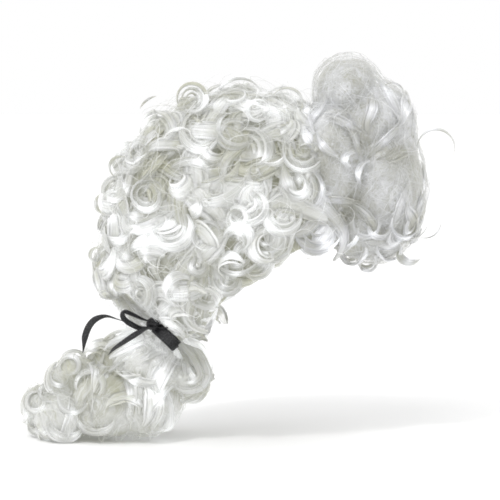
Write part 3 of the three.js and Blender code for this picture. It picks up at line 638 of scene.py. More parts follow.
# Number in hair of the region that each point lies in.
def regionOf(points):
    p = points - dome["centre"]
    fall = np.degrees(np.arctan2(np.hypot(p[:, 0], p[:, 1]), p[:, 2]))
    turn = np.degrees(np.abs(np.arctan2(p[:, 1], -p[:, 0])))
    region = np.where(p[:, 1] > 0, 2, 3)
    region = np.where(turn < regions["backAngle"], 1, region)
    region = np.where(fall < regions["crownAngle"], 0, region)
    return np.where(points[:, 0] > regions["pouf"], 4, region)


# Edge of the hair beside the face: its height at each distance forward, from the photo.
faceEdge = dict(x=np.array([-9, -8, -1, 8, 19, 53, 100]) * mm,
                z=np.array([-900, -190, -163, -141, -127, -121, -128]) * mm, room=0.7, most=45 * mm)


# Paths that hang below the face edge are lifted whole until they clear it.
def clearFace(path, wide):
    edge = np.interp(path[..., 0], faceEdge["x"], faceEdge["z"]) + wide[:, None] * faceEdge["room"]
    under = np.where(path[..., 0] > faceEdge["x"][1], edge - path[..., 2], 0).max(1)
    lifted = path.copy()
    lifted[..., 2] += np.clip(under, 0, faceEdge["most"])[:, None]
    return lifted


def addByRegion(path, face, wide, deep, tone, **options):
    path = clearFace(path, wide)
    which = regionOf(path.mean(1))
    for k, piece in enumerate(hair):
        pick = which == k
        piece.add(path[pick], face[pick], wide[pick], deep[pick], tone[pick], **options)


# Bed: a closed shell under the locks, open below for the head, and the pouf's cores.
# The bed and the pouf's cores take low tones: painted shade where they show between the locks.
bedShell = dict(around=72, down=36, first=0.02, sink=3 * mm, lining=1 * mm, tone=0.12, frizz=0.4,
                length=0.3, across=0.16, poufSink=2 * mm, poufTone=0.2, poufFrizz=1.0, poufSeed=20)


# Outer wall a little inside the dome down to the hem, inner wall on the head's room.
def makeBed():
    turn = 2 * np.pi * np.arange(bedShell["around"]) / bedShell["around"]
    fall = np.linspace(bedShell["first"], 1, bedShell["down"])[:, None] * hemFall(turn)
    turns = np.broadcast_to(turn, fall.shape)
    outer, inner = grown(dome, -bedShell["sink"]), grown(headRoom, bedShell["lining"])
    rings = np.concatenate([onBed(outer, turns, fall), onBed(inner, turns, fall)[::-1]])
    down, around = rings.shape[:2]
    points = np.concatenate([rings.reshape(-1, 3), [onBed(outer, 0.0, 0.0), onBed(inner, 0.0, 0.0)]])
    maps = lockMaps(1, down, around, np.full(1, bedShell["length"]), np.full(1, bedShell["across"]))
    crown.keep(points, *lockFaces(1, down, around), *maps, np.full(len(points), bedShell["tone"]),
               bedShell["frizz"])
    for k, core in enumerate(poufCores):
        front.core(grown(core, -bedShell["poufSink"]), (1, 0, 0), bedShell["poufTone"],
                   bedShell["poufSeed"] + k, frizz=bedShell["poufFrizz"])


# Places on the dome above the hem and behind a line past the pouf's, with their normals.
def domePlaces(layer, local):
    turn, fall = scatterOn(layer["count"], layer["jitter"], local)
    keep = fall < hemFall(turn) - layer["gap"]
    place = onBed(dome, turn[keep], fall[keep])
    place = place[place[:, 0] < regions["pouf"] + layer["forward"]]
    return place, bedNormal(dome, place)


# Under layer: long soft swooshes that cover the bed.
under = dict(count=270, jitter=0.08, gap=0.04, forward=30 * mm, spin=0.9, length=(0.055, 0.1),
             bend=(0.006, 0.018), way=eitherWay, lift=(1, 5), steps=14, wide=(0.005, 0.0095), deep=0.2,
             tone=(0.25, 0.6), seed=5)


def underLocks(local):
    place, normal = domePlaces(under, local)
    draw = drawer(under, len(place), local)
    path, face = swooshPaths(dome, place, normal, draw("spin"), draw("length"),
                             draw("bend") * draw("way"), draw("lift") * mm, under["steps"])
    wide = draw("wide")
    addByRegion(path, face, wide, wide * under["deep"], draw("tone"), seed=under["seed"])


# Middle layer: ringlets of every size, a little off the dome. Below low they end at lowFront.
anyCurl = dict(spin=anyTurn, way=eitherWay, shrink=(0.2, 0.6), lean=0.6, tilt=(0.2, 2.2))
ringlets = dict(anyCurl, count=185, jitter=0.07, gap=0.02, forward=20 * mm, low=-70 * mm, lowFront=25 * mm,
                rise=(1, 7), radius=(0.010, 0.017), turns=(0.6, 1.2), climb=(-8, 8), steps=18,
                wide=(0.0045, 0.008), deep=0.16, tone=(0.3, 0.7), seed=6)


def ringletLocks(local):
    place, normal = domePlaces(ringlets, local)
    keep = (place[:, 2] > ringlets["low"]) | (place[:, 0] < ringlets["lowFront"])
    place, normal = place[keep], normal[keep]
    draw = drawer(ringlets, len(place), local)
    place = place + normal * draw("rise")[:, None] * mm
    path, outward, axis = curls(ringlets, place, normal, draw)
    wide = draw("wide")
    face = tipped(outward, axis, draw("tilt"))
    addByRegion(path, face, wide, wide * ringlets["deep"], draw("tone"), seed=ringlets["seed"])


# Table as one array of numbers for each named column.
def columns(names, rows):
    return dict(zip(names.split(), np.array(rows, float).T))


# Locks read from the photo as pixel arcs: centre, radius, start and sweep in degrees, half
# width in pixels, height over the bed in millimetres and the share that the radius shrinks by.
heroes = columns("x y radius start sweep half lift shrink", [
    (192, 98, 15, 200, -330, 3.5, 13, 0.1), (201, 132, 21, 60, 290, 6, 8, 0.15),
    (147, 196, 18, 30, 400, 4, 10, 0.35), (140, 190, 40, -28, -90, 9, 7, 0.0),
    (208, 160, 45, 0, -155, 9, 5, 0.0), (303, 149, 25, 165, -390, 3, 12, 0.2),
    (270, 180, 30, 50, -65, 6, 8, 0.0), (240, 102, 24, 175, -150, 7, 8, 0.0),
    (258, 111, 12, 0, 330, 3, 12, 0.2), (190, 190, 29, 140, -100, 6, 7, 0.0),
    (107, 264, 14, 60, 300, 6, 8, 0.3), (150, 266, 26, 150, -110, 7, 8, 0.0),
    (199, 266, 10, 90, 330, 5, 10, 0.3), (238, 240, 15, 170, -250, 6, 9, 0.2),
    (206, 236, 15, 0, 340, 3, 6, 0.1), (250, 150, 22, 120, -200, 8, 6, 0.2),
    (132, 158, 17, 20, 320, 4, 10, 0.25), (158, 128, 18, 200, -260, 5, 10, 0.2),
    (118, 226, 20, 90, 260, 6, 8, 0.3), (170, 228, 22, 40, -250, 6, 8, 0.2),
    (250, 205, 20, 200, 250, 5, 8, 0.3), (282, 215, 20, 20, -240, 5, 7, 0.2),
    (136, 295, 18, 120, -260, 6, 8, 0.2), (180, 292, 18, 30, 240, 6, 7, 0.2),
    (228, 280, 16, 150, 220, 4, 6, 0.2), (255, 262, 18, 60, -220, 4, 7, 0.2),
    (283, 106, 19, 150, -150, 5, 8, 0.0), (235, 128, 20, 320, -220, 5, 7, 0.2),
    (115, 190, 14, 60, 280, 4, 10, 0.3), (300, 190, 24, 100, -160, 5, 7, 0.1),
    (267, 236, 26, 195, 155, 3, 7, 0.0), (318, 228, 24, 200, 150, 3, 6, 0.0),
    (324, 168, 40, 175, 60, 6, 9, 0.0), (236, 250, 24, 200, 140, 4, 6, 0.0)])
# Rings of an arc: share of its radius, of its height and of its width, then steps, strips, strands.
heroRings = [(1.0, 1.0, 0.85, 22, 3, 9), (0.68, 0.6, 0.9, 16, 1, 3), (0.36, 0.4, 0.8, 12, 1, 2)]
heroForm = dict(astray=12, low=0.55, hump=0.45, tone=(0.5, 0.75), innerShade=0.2, swing=0.8, deep=0.18,
                farEdge=-30 * mm, farTurns=[(0, 1, 9), (1, 2, 7)], farSeed=30,
                seed=7)


# Ways from the bed's centre, mirrored, then turned a little about Z and about X for each lock.
def farSide(way, local):
    way = way * mirror
    for first, second, spread in heroForm["farTurns"]:
        a = np.radians(local.normal(0, spread, (len(way), 1)))
        c, s = np.cos(a), np.sin(a)
        way[..., first], way[..., second] = (way[..., first] * c - way[..., second] * s,
                                             way[..., first] * s + way[..., second] * c)
    return way


# Pixels along arcs: x + r cos a, y - r sin a, with r shrinking along the way.
def pixelArcs(arcs, steps, size=1.0, astray=0.0):
    x, y, radius, start, turn, shrink = (
        arcs[name][:, None] for name in ("x", "y", "radius", "start", "sweep", "shrink"))
    t = np.linspace(0, 1, steps)[None]
    a = np.radians(start + turn * t + astray)
    r = radius * size * (1 - shrink * t)
    return x + r * np.cos(a), y - r * np.sin(a)


# Directions out of each path's middle.
def fromMiddle(path):
    return unit(path - path.mean(1)[:, None])


# Each arc's pixels are set on the dome grown by lift (low + hump sin(pi t)), with smaller and
# lower arcs inside it, and the arcs well to the near side once more, shifted, on the far side.
def heroLocks(local):
    count = len(heroes["x"])
    for size, raised, thin, steps, strips, strands in heroRings:
        hump = heroForm["low"] + heroForm["hump"] * np.sin(np.pi * np.linspace(0, 1, steps)[None])
        rise = (heroes["lift"][:, None] * raised * mm * hump)[..., None]
        astray = local.normal(0, heroForm["astray"], (count, 1)) * (1 - size)
        ray = photoRays(*pixelArcs(heroes, steps, size, astray))
        path = cameraPlace + ray * rayMeets(dome, ray, rise)[0][..., None]
        radii = dome["radii"] + rise
        way = farSide((path - dome["centre"]) / radii, np.random.default_rng(heroForm["farSeed"]))
        half = heroes["half"] * camera["scale"] * thin
        # Inner rings are painted darker: painted shade inside the curl.
        tone = local.uniform(*heroForm["tone"], count) - heroForm["innerShade"] * (1 - size)
        if size == 1:
            wellNear = path.mean(1)[:, 1] < heroForm["farEdge"]
        far = dome["centre"] + radii * way
        for side, pick, seed in ((path, np.full(count, True), heroForm["seed"]),
                                 (far, wellNear, heroForm["seed"] + 1)):
            side = side[pick]
            face = unit(bedNormal(dome, side) + heroForm["swing"] * fromMiddle(side))
            addByRegion(side, face, half[pick], half[pick] * heroForm["deep"], tone[pick], seed=seed,
                        strips=strips, strands=strands)


# Pouf: teased hair. Fine crimped strands all over it, soft locks, and loops along its foot.
poufStrands = dict(count=1600, top=1.0, spin=anyTurn, length=(0.03, 0.06), wave=(1, 4), lift=(0.5, 4),
                   steps=8, size=(0.14, 0.26), tone=(0.0, 0.75), tip=0.5)
poufLocks = dict(count=80, top=26 * mm, spin=0.7, length=(0.04, 0.07), wave=(2, 5), lift=(0, 2),
                 steps=8, wide=(3, 7), deep=0.16, tone=(0.05, 0.3), seed=31)
arcNames = "x y radius start sweep half shrink"
poufLoops = columns(arcNames, [
    (341, 231, 17, 170, 200, 3.5, 0.0), (366, 224, 13, 160, 220, 3.5, 0.0),
    (380, 226, 12, 180, 190, 4, 0.0), (389, 248, 12, 170, 210, 4, 0.0),
    (352, 250, 14, 180, 190, 4, 0.0), (368, 262, 9, 160, 240, 4, 0.1),
    (325, 225, 18, 160, 190, 4, 0.0), (405, 225, 14, 150, 220, 4, 0.1),
    (343, 130, 26, 190, 70, 4, 0.0), (352, 160, 8, 60, 200, 4, 0.2),
    (372, 175, 14, 100, 120, 3, 0.0), (330, 115, 24, 230, -80, 5, 0.0)])
poufLoopForm = dict(steps=20, lift=4 * mm, easings=0, face=np.array([0, -1.0, 0]), swing=1.0, deep=0.25,
                    tone=0.55, seeds=(41, 42), strands=7)


# Of arrays that hold one value for each core, the value of the core that is nearest.
def ofNearest(cores, points, values):
    pick = np.argmin(coreHeights(cores, points), axis=0)
    return np.take_along_axis(np.stack(values), pick[None, ..., None], 0)[0]


# Points moved out to the surface of the nearest core, plus lift.
def onCores(cores, points, lift):
    for again in range(2):
        points = ofNearest(cores, points, [wrapOn(core, points, lift) for core in cores])
    return points


def coresNormal(cores, points):
    return ofNearest(cores, points, [bedNormal(core, points) for core in cores])


# Places on all cores, shared by their areas, less those inside another core.
placing = dict(jitter=0.1, radius=60 * mm, inside=-0.5 * mm)


def placesOn(cores, count, local):
    found = []
    for core in cores:
        places = onBed(core, *scatterOn(count, placing["jitter"], local, 1.0))
        found.append(places[local.random(count) < (core["radii"].mean() / placing["radius"]) ** 2])
    found = np.concatenate(found)
    found = found[heightOver(cores, found) > placing["inside"]]
    return found[local.permutation(len(found))[:count]]


# Inner values along a path evened out by shares of 1, 2 and 1, some times over.
def eased(values, times):
    for again in range(times):
        values[:, 1:-1] = (values[:, :-2] + 2 * values[:, 1:-1] + values[:, 2:]) / 4
    return values


# Path across the cores: straight in the main, with two sine waves beside it.
crimp = dict(first=9, second=21, share=0.5, low=0.4, easings=2)


def crimped(cores, place, normal, spin, length, wave, lift, steps, local):
    u, v = tangentFrame(normal, spin)
    t = np.linspace(0, 1, steps)
    along = length[:, None] * (t - 0.5)
    a, b = local.uniform(*anyTurn, (2, len(place)))
    side = wave[:, None] * (np.sin(crimp["first"] * t + a[:, None])
                            + crimp["share"] * np.sin(crimp["second"] * t + b[:, None]))
    flat = place[:, None] + along[..., None] * u[:, None] + side[..., None] * v[:, None]
    return eased(onCores(cores, flat, lift[:, None] * (crimp["low"] + np.sin(np.pi * t))), crimp["easings"])


# Places outside the dome and below the layer's top, a crimped path from each, and the painted light that
# makes each lighter towards the pouf's top.
def teased(layer, local):
    place = placesOn(poufCores, layer["count"], local)
    place = place[(heightOver([dome], place) > 0) & (place[:, 2] < layer["top"])]
    draw = drawer(layer, len(place), local)
    path = crimped(poufCores, place, coresNormal(poufCores, place), draw("spin"), draw("length"),
                   draw("wave") * mm, draw("lift") * mm, layer["steps"], local)
    return path, coresNormal(poufCores, path), draw, topLight(place, toning["lockLight"])


# Each arc's pixels set on the first core grown by lift that their rays meet, or as deep as the
# arc's deepest where they miss, and evened out, then once more on the far side.
def arcLocks(piece, arcs, cores, form, tones):
    ray = photoRays(*pixelArcs(arcs, form["steps"]))
    found = [rayMeets(core, ray, form["lift"]) for core in cores]
    distance, inside = (np.stack(part) for part in zip(*found))
    depth = np.where(inside > 0, distance, np.inf).min(0)
    met = np.isfinite(depth)
    depth = np.where(met, depth, np.where(met, depth, 0).max(1, keepdims=True))
    path = cameraPlace + ray * eased(depth, form["easings"])[..., None]
    half = arcs["half"] * camera["scale"]
    face = unit(form["face"] + form["swing"] * fromMiddle(path))
    for flip, seed, tone in zip((1, mirror), form["seeds"], tones):
        piece.add(path * flip, face * flip, half, half * form["deep"], tone, seed, strands=form["strands"])


def poufHair(local):
    path, face, draw, light = teased(poufStrands, local)
    front.fine(path, face, draw("size") * mm, draw("tone") + light, poufStrands["tip"], local)
    path, face, draw, light = teased(poufLocks, local)
    wide = draw("wide") * mm
    front.add(path, face, wide, wide * poufLocks["deep"], draw("tone") + light, poufLocks["seed"])
    tones = np.full((2, len(poufLoops["x"])), poufLoopForm["tone"])
    arcLocks(front, poufLoops, poufCores, poufLoopForm, tones)


# Loops that hang open upwards round the front of the pouf's foot.
fringe = dict(count=10, turn=60, astray=4, fall=(108, 128), out=3 * mm, way=eitherWay, spin=-1.8,
              radius=(0.010, 0.015), turns=(0.55, 0.75), shrink=(0, 0.3), lean=0.2, climb=(-4, 4), steps=16,
              wide=(0.0025, 0.004), deep=0.22, tilt=1.2, tone=(0.45, 0.7), seed=45)


def poufFringe(local):
    draw = drawer(fringe, fringe["count"], local)
    turn = np.radians(np.linspace(-fringe["turn"], fringe["turn"], fringe["count"]) + draw("astray"))
    place = onBed(poufMain, turn, np.radians(draw("fall")))
    normal = bedNormal(poufMain, place)
    path, outward, axis = curls(fringe, place + normal * fringe["out"], normal, draw, draw("way"))
    wide = draw("wide")
    face = tipped(outward, axis, np.full(fringe["count"], fringe["tilt"]))
    front.add(path, face, wide, wide * fringe["deep"], draw("tone"), fringe["seed"])


# Strays: thin locks off the outline, as pixel arcs at a depth in millimetres. Each bows
# sideways from there by bow * sin(pi t).
strays = columns(arcNames + " depth", [
    (436, 148, 19, 200, -225, 1.7, 0.0, -15), (425, 222, 16, 250, 110, 0.4, 0.0, -10),
    (411, 250, 13, 165, 150, 4.0, 0.0, -20), (382, 103, 26, -20, 50, 2.0, 0.0, -10),
    (108, 203, 12, 130, 130, 1.6, 0.0, -30), (160, 118, 22, 100, 55, 0.8, 0.0, -25),
    (192, 98, 15, 200, -330, 2.6, 0.05, -20), (288, 104, 17, 150, -200, 1.2, 0.2, -25),
    (392, 95, 12, 140, -150, 0.6, 0.0, -25), (98, 256, 9, 80, 190, 1.4, 0.2, -30),
    (120, 168, 12, 60, 190, 1.4, 0.2, -30)])
strayForm = dict(steps=22, bow=11 * mm, towards=np.array([0, -4, 0]) * mm, deep=0.5, tone=0.0,
                 seed=61)


def strayLocks():
    ray = photoRays(*pixelArcs(strays, strayForm["steps"]))
    bow = strayForm["bow"] * np.sin(np.linspace(0, np.pi, strayForm["steps"]))
    plane = strays["depth"][:, None] * mm - bow
    path = cameraPlace + ray * ((plane - cameraPlace[1]) / ray[..., 1])[..., None]
    face = unit(path - path.mean(1)[:, None] + strayForm["towards"])
    half = strays["half"] * camera["scale"]
    addByRegion(path, face, half, half * strayForm["deep"], np.full(len(path), strayForm["tone"]),
                seed=strayForm["seed"], strands=3)


# Bulge of curls low at the back, over the nape: swooshes, then ringlets, where it stands out
# of the dome.
bulge = ball([-73, 0, -127], [54, 64, 38])
bulgeCore = dict(sink=5 * mm, tone=0.3, seed=33)
bulgeLocks = dict(anyCurl, count=60, jitter=0.1, over=-4 * mm, low=-164 * mm, back=-20 * mm, out=3 * mm,
                  wide=(0.0045, 0.0075), deep=0.18, tone=(0.3, 0.65), steps=15, seed=35, sway=0.8,
                  length=(0.04, 0.07), bend=(-12, 12), lift=(0, 4), radius=(0.009, 0.015),
                  turns=(0.6, 1.1), climb=(-6, 6))


def bulgeHair(local):
    back.core(grown(bulge, -bulgeCore["sink"]), leftward, bulgeCore["tone"], bulgeCore["seed"])
    for layer in range(2):
        place = onBed(bulge, *scatterOn(bulgeLocks["count"], bulgeLocks["jitter"], local, 1.0))
        keep = (heightOver([dome], place) > bulgeLocks["over"]) & (place[:, 2] > bulgeLocks["low"])
        place = place[keep & (place[:, 0] < bulgeLocks["back"])]
        normal = bedNormal(bulge, place)
        draw = drawer(bulgeLocks, len(place), local)
        wide = draw("wide")
        if layer == 0:
            path, face = swooshPaths(bulge, place, normal, draw("sway"), draw("length"),
                                     draw("bend") * mm, draw("lift") * mm, bulgeLocks["steps"])
        else:
            path, outward, axis = curls(bulgeLocks, place + normal * bulgeLocks["out"], normal, draw)
            face = tipped(outward, axis, draw("tilt"))
        back.add(path, face, wide, wide * bulgeLocks["deep"], draw("tone"), bulgeLocks["seed"] + layer,
                 strands=3)


# Nape: hair drawn from the hem in to the tie.
nape = Hair("nape_hair", ["nape_gather"], [ball([-58, 0, -165], [62, 58, 34])])
napeCores = [(ball([-58, 0, -150], [50, 58, 20]), 0.25, 51), (ball([-64, 0, -172], [26, 20, 20]), 0.35, 52)]
napeLocks = dict(count=130, steps=14, turn=1.8, astray=0.05, up=0.3, rise=(0, 1), forward=60 * mm,
                 scatter=0.5, across=0.5, fill=0.55, pinch=20 * mm, spread=6 * mm, inward=0.3,
                 sag=np.array([0, 0, -4]) * mm, middle=np.array([-52, 0, -152]) * mm, ripple=2.5 * mm,
                 ripples=7, phase=anyTurn, wide=(3, 5.5), deep=0.2, tone=(0.35, 0.85), tip=0.3, seed=52)


# Cubic curves from the hem, pinched above the tie, to the tie's ring.
def napeHair(local):
    for core, tone, seed in napeCores:
        nape.core(core, leftward, tone, seed)
    count = napeLocks["count"]
    draw = drawer(napeLocks, count, local)
    turn = math.pi + np.linspace(-napeLocks["turn"], napeLocks["turn"], count) + draw("astray")
    start = onBed(dome, turn, hemFall(turn) - napeLocks["up"] * draw("rise"))
    about = np.arctan2(start[:, 1], napeLocks["forward"]) + draw("scatter")
    about = np.where(local.random(count) < napeLocks["across"], about, np.pi - about)
    ring = aroundTie(about)
    inTie = tie["centre"] + tie["radius"] * napeLocks["fill"] * ring
    above = inTie - tie["axis"] * napeLocks["pinch"] + ring * napeLocks["spread"]
    low = start + (inTie - start) * napeLocks["inward"] + napeLocks["sag"]
    t = np.linspace(0, 1, napeLocks["steps"])[None, :, None]
    path = ((1 - t) ** 3 * start[:, None] + 3 * (1 - t) ** 2 * t * low[:, None]
            + 3 * (1 - t) * t ** 2 * above[:, None] + t ** 3 * inTie[:, None])
    face = unit(path - napeLocks["middle"])
    wave = np.sin(napeLocks["ripples"] * t + draw("phase")[:, None, None])
    ripple = napeLocks["ripple"] * wave * np.sin(np.pi * t)
    wide = draw("wide") * mm
    nape.add(path + ripple * face, face, wide, wide * napeLocks["deep"], draw("tone"), napeLocks["seed"],
             strips=1, strands=3, tip=napeLocks["tip"])


# Queue: fat ringlets below the tie, resting on the floor. Lobes are in shares of the queue's
# length, half width and height, with the turn of each in degrees and how steeply it rises.
queue = dict(start=-30 * mm, length=162 * mm, width=104 * mm, height=90 * mm, floor=-280 * mm,
             clear=0.3 * mm, toneHeight=10 * mm)
lobes = columns("x y z r turn rise", [
    (0.10, -0.42, 0.66, 0.22, 20, 0.6), (0.16, 0.1, 0.58, 0.24, 165, 0.4), (0.3, -0.38, 0.7, 0.3, -15, -0.5),
    (0.3, 0.4, 0.68, 0.3, 20, 0.5), (0.5, 0, 0.76, 0.24, 10, 0.3), (0.33, -0.5, 0.36, 0.3, 10, 0.15),
    (0.33, 0.5, 0.34, 0.3, -15, 0.2), (0.56, -0.42, 0.38, 0.34, -20, -0.4), (0.56, 0.42, 0.4, 0.34, 30, 0.4),
    (0.74, -0.2, 0.6, 0.23, 15, 0.7), (0.74, 0.34, 0.52, 0.22, -30, -0.5), (0.8, -0.4, 0.24, 0.26, 25, 0.3),
    (0.8, 0.36, 0.22, 0.25, -30, 0.2), (0.91, 0, 0.3, 0.23, 20, -0.3)])
queueArcs = columns(arcNames, [
    (73, 398, 15, 165, 175, 2.5, 0.0), (70, 366, 11, 200, -290, 3.5, 0.2), (60, 376, 10, 150, 210, 2.5, 0.1),
    (36, 402, 11, 60, 300, 3.5, 0.2), (49, 392, 9, 100, 190, 2.5, 0.0), (40, 420, 12, 170, 170, 3.5, 0.0),
    (124, 417, 21, 30, 120, 7, 0.0), (118, 404, 34, 32, -74, 5, 0.0), (112, 404, 46, 26, -58, 5, 0.0),
    (189, 372, 20, 130, -270, 4, 0.0), (189, 372, 12, 150, -280, 3.5, 0.1), (103, 366, 22, 155, -130, 5, 0.0),
    (133, 362, 24, 150, -130, 5, 0.0), (160, 380, 26, 140, -140, 5, 0.0), (96, 412, 20, 185, 150, 4, 0.0),
    (66, 420, 18, 180, 150, 4, 0.0), (90, 385, 14, 200, -250, 4, 0.1), (150, 350, 34, 215, 80, 4, 0.0)])
queueArcForm = dict(steps=20, lift=2 * mm, easings=4, face=np.array([0, -1.0, 0.3]), swing=0.7, deep=0.22,
                    tone=(0.5, 0.75), seeds=(97, 98), strands=5)
lobeCentres = np.stack([queue["start"] - lobes["x"] * queue["length"], lobes["y"] * queue["width"] / 2,
                        queue["floor"] + lobes["z"] * queue["height"]], -1)
lobeRadii = lobes["r"] * queue["height"]
lobeCores = [dict(centre=c, radii=np.full(3, r)) for c, r in zip(lobeCentres, lobeRadii)]
tail = Hair("queue_hair", ["queue_curls"], lobeCores, queue["toneHeight"], queue["floor"] + queue["clear"])
lobeForm = dict(shape=np.array([1.1, 0.94, 0.94]), tone=0.45, seed=60, around=24, down=14,
                full=1.1, taper=1.12, least=0.04, sunk=0.95)
windings = dict(start=anyTurn, spread=(1.2, 4.6), way=eitherWay, place=(-0.95, 0.95), drift=0.35)
bands = dict(windings, each=7, steps=16, astray=0.3, wide=(0.16, 0.34), deep=0.12, tone=(0.45, 0.8), seed=80)
wisps = dict(windings, each=52, steps=11, astray=0.5, grow=(1.02, 1.14), size=(0.18, 0.34), tone=(0.2, 0.9),
             tip=0.5)
fan = dict(count=38, steps=14, about=anyTurn, fill=0.6, push=(14, 34), opening=0.55, length=(40, 66),
           wide=(3, 6), deep=0.2, back=0.4, tone=(0.4, 0.8), seed=99)


# Turns round a lobe: centre + p along it + r sqrt(full - (p / taper)^2) out of it, where p
# drifts slowly from the turn's own place.
def wound(centre, along, r, start, spread, place, drift, steps):
    side = unit(np.stack([-along[:, 1], along[:, 0], 0 * along[:, 0]], -1))
    up = np.cross(along, side)
    t = np.linspace(0, 1, steps)[None, :]
    a = start[:, None] + spread[:, None] * t
    p = place[:, None] + drift[:, None] * (t - 0.5)
    size = np.sqrt(np.clip(lobeForm["full"] - (p / lobeForm["taper"]) ** 2, lobeForm["least"], 1))
    size = r[:, None] * size * lobeForm["sunk"]
    way = np.cos(a)[..., None] * side[:, None] + np.sin(a)[..., None] * up[:, None]
    return centre[:, None] + (p * r[:, None])[..., None] * along[:, None] + size[..., None] * way, way


# Lumpy rolls with shallow bands and many fine strands wound round them, the arcs of the photo,
# and a fan of hair from the tie: start + length t along the axis + push sin(pi opening t) out.
def queueHair(local):
    turn = np.radians(lobes["turn"])
    alongs = unit(np.stack([np.cos(turn), np.sin(turn), lobes["rise"]], -1))
    for k, core in enumerate(lobeCores):
        tail.core(dict(core, radii=lobeForm["shape"] * core["radii"]), alongs[k], lobeForm["tone"],
                  lobeForm["seed"] + k, around=lobeForm["around"], down=lobeForm["down"])
    for layer in (bands, wisps):
        pick = np.repeat(np.arange(len(lobeCores)), layer["each"])
        draw = drawer(layer, len(pick), local)
        start, spread = draw("start"), draw("spread") * draw("way")
        place, drift = draw("place"), draw("drift")
        r = lobeRadii[pick] * (draw("grow") if layer is wisps else 1)
        axis = unit(alongs[pick] + local.normal(0, layer["astray"], (len(pick), 3)))
        path, way = wound(lobeCentres[pick], axis, r, start, spread, place, drift, layer["steps"])
        if layer is wisps:
            tail.fine(path, way, draw("size") * mm, draw("tone"), wisps["tip"], local)
        else:
            wide = lobeRadii[pick] * draw("wide")
            tail.add(path, way, wide, wide * bands["deep"], draw("tone"), bands["seed"], strands=2)
    tones = local.uniform(*queueArcForm["tone"], (2, len(queueArcs["x"])))
    arcLocks(tail, queueArcs, lobeCores, queueArcForm, tones)
    draw = drawer(fan, fan["count"], local)
    out = aroundTie(draw("about"))
    start = tie["centre"] + out * tie["radius"] * fan["fill"]
    t = np.linspace(0, 1, fan["steps"])[None, :, None]
    push, length = draw("push")[:, None, None] * mm, draw("length")[:, None, None]
    path = (start[:, None] + tie["axis"] * t * length * mm
            + out[:, None] * push * np.sin(np.pi * fan["opening"] * t))
    wide = draw("wide") * mm
    face = np.broadcast_to(unit(out[:, None] - tie["axis"] * fan["back"]), path.shape)
    tail.add(path, face, wide, wide * fan["deep"], draw("tone"), fan["seed"], strips=1)


# Loose strands that break up the outline.
loose = dict(anyCurl, count=1900, jitter=0.1, gap=0.0, forward=20 * mm, rise=(2, 13), radius=(0.010, 0.022),
             turns=(0.3, 0.9), shrink=(-0.3, 0.4), lean=0.5, climb=(-10, 10), steps=10, size=(0.16, 0.3),
             tone=(0.45, 0.9), tip=0.4)


def looseStrands(local):
    place, normal = domePlaces(loose, local)
    draw = drawer(loose, len(place), local)
    path, outward, axis = curls(loose, place + normal * draw("rise")[:, None] * mm, normal, draw)
    which = regionOf(path.mean(1))
    size, tone = draw("size") * mm, draw("tone")
    for k, piece in enumerate(hair):
        pick = which == k
        piece.fine(path[pick], outward[pick], size[pick], tone[pick], loose["tip"], local)


makeBed()
for layLocks, seed in ((underLocks, 13), (ringletLocks, 22), (heroLocks, 3), (poufHair, 4), (poufFringe, 10),
                       (napeHair, 5), (bulgeHair, 8), (queueHair, 6), (looseStrands, 7)):
    layLocks(np.random.default_rng(seed))
strayLocks()
print("locks laid")
total = sum(piece.make(teasedWhite if piece is front else hairWhite) for piece in (*hair, nape, tail))
print("hair in all", total, "triangles")


# Ribbon: flat strips from the knot, a band and the knot itself. Routes are in shares of each
# strip's length in millimetres, with the turn of the strip in degrees at each point.
ribbon = dict(width=6.35 * mm, wall=0.9 * mm, knot=np.array([-78.7, -12.5, -176.3]) * mm, rough=0.36,
              weave=900.0, detail=2.0, coarse=0.7, thread=(0.45, 0.75), dark=(0.006, 0.006, 0.008),
              light=(0.07, 0.07, 0.075), bump=0.4, relief=0.4 * mm, steps=6, sides=8, cutFrom=0.86,
              cutSide=0.42, cutDepth=0.85, seed=9)
bows = [
    dict(length=26, cut=False, route=[
        [0, -0.05, 0.06], [-0.35, -0.3, 0.2], [-0.7, -0.55, 0.4], [-0.93, -0.7, 0.5], [-1.02, -0.74, 0.4],
        [-0.95, -0.7, 0.24], [-0.7, -0.55, 0.04], [-0.35, -0.3, -0.12], [0, -0.04, -0.08]],
         turns=[0, 30, 45, 45, 45, 45, 45, 30, 0]),
    dict(length=13, cut=False, route=[
        [0, 0, 0.14], [0.5, -0.35, 0.3], [0.95, -0.55, 0.25], [1.1, -0.6, -0.1], [0.65, -0.45, -0.25],
        [0, 0, -0.14]],
         turns=[0, 15, 25, 25, 15, 0]),
    dict(length=66, cut=True, route=[
        [0, 0.02, -0.02], [-0.1, -0.02, -0.04], [-0.3, -0.11, 0.02], [-0.48, -0.2, 0.09],
        [-0.63, -0.24, 0.135], [-0.77, -0.24, 0.094], [-0.865, -0.22, -0.015], [-0.925, -0.19, -0.18],
        [-0.975, -0.16, -0.37]],
         turns=[0, 0, 6, 14, 35, 65, 75, 65, 50]),
    dict(length=42, cut=True, route=[
        [0, -0.06, -0.06], [-0.16, -0.28, -0.08], [-0.36, -0.42, -0.17], [-0.6, -0.5, -0.32],
        [-0.79, -0.52, -0.45], [-0.96, -0.52, -0.6]],
         turns=[0, 40, 60, 50, 35, 15])]
wraps = dict(count=4, steps=60, turn=2 * np.pi * 1.03, wide=2.6 * mm, deep=0.8 * mm, over=1.4 * mm,
             lump=0.5 * mm, lumps=3, reach=3.2, stray=0.9, strays=2, phase=1.3)
folds = dict(count=5, steps=24, turn=2.7, tilt=anyTurn, size=(3.6, 5.6), flat=0.3, deep=0.7, shift=1.2 * mm,
             wide=2.7 * mm, thick=0.8 * mm, tip=0.8, core=np.array([6.5, 4.5, 5.5]) * mm, along=(1, 0, 0.5),
             tone=0, seed=3, lump=0.12)


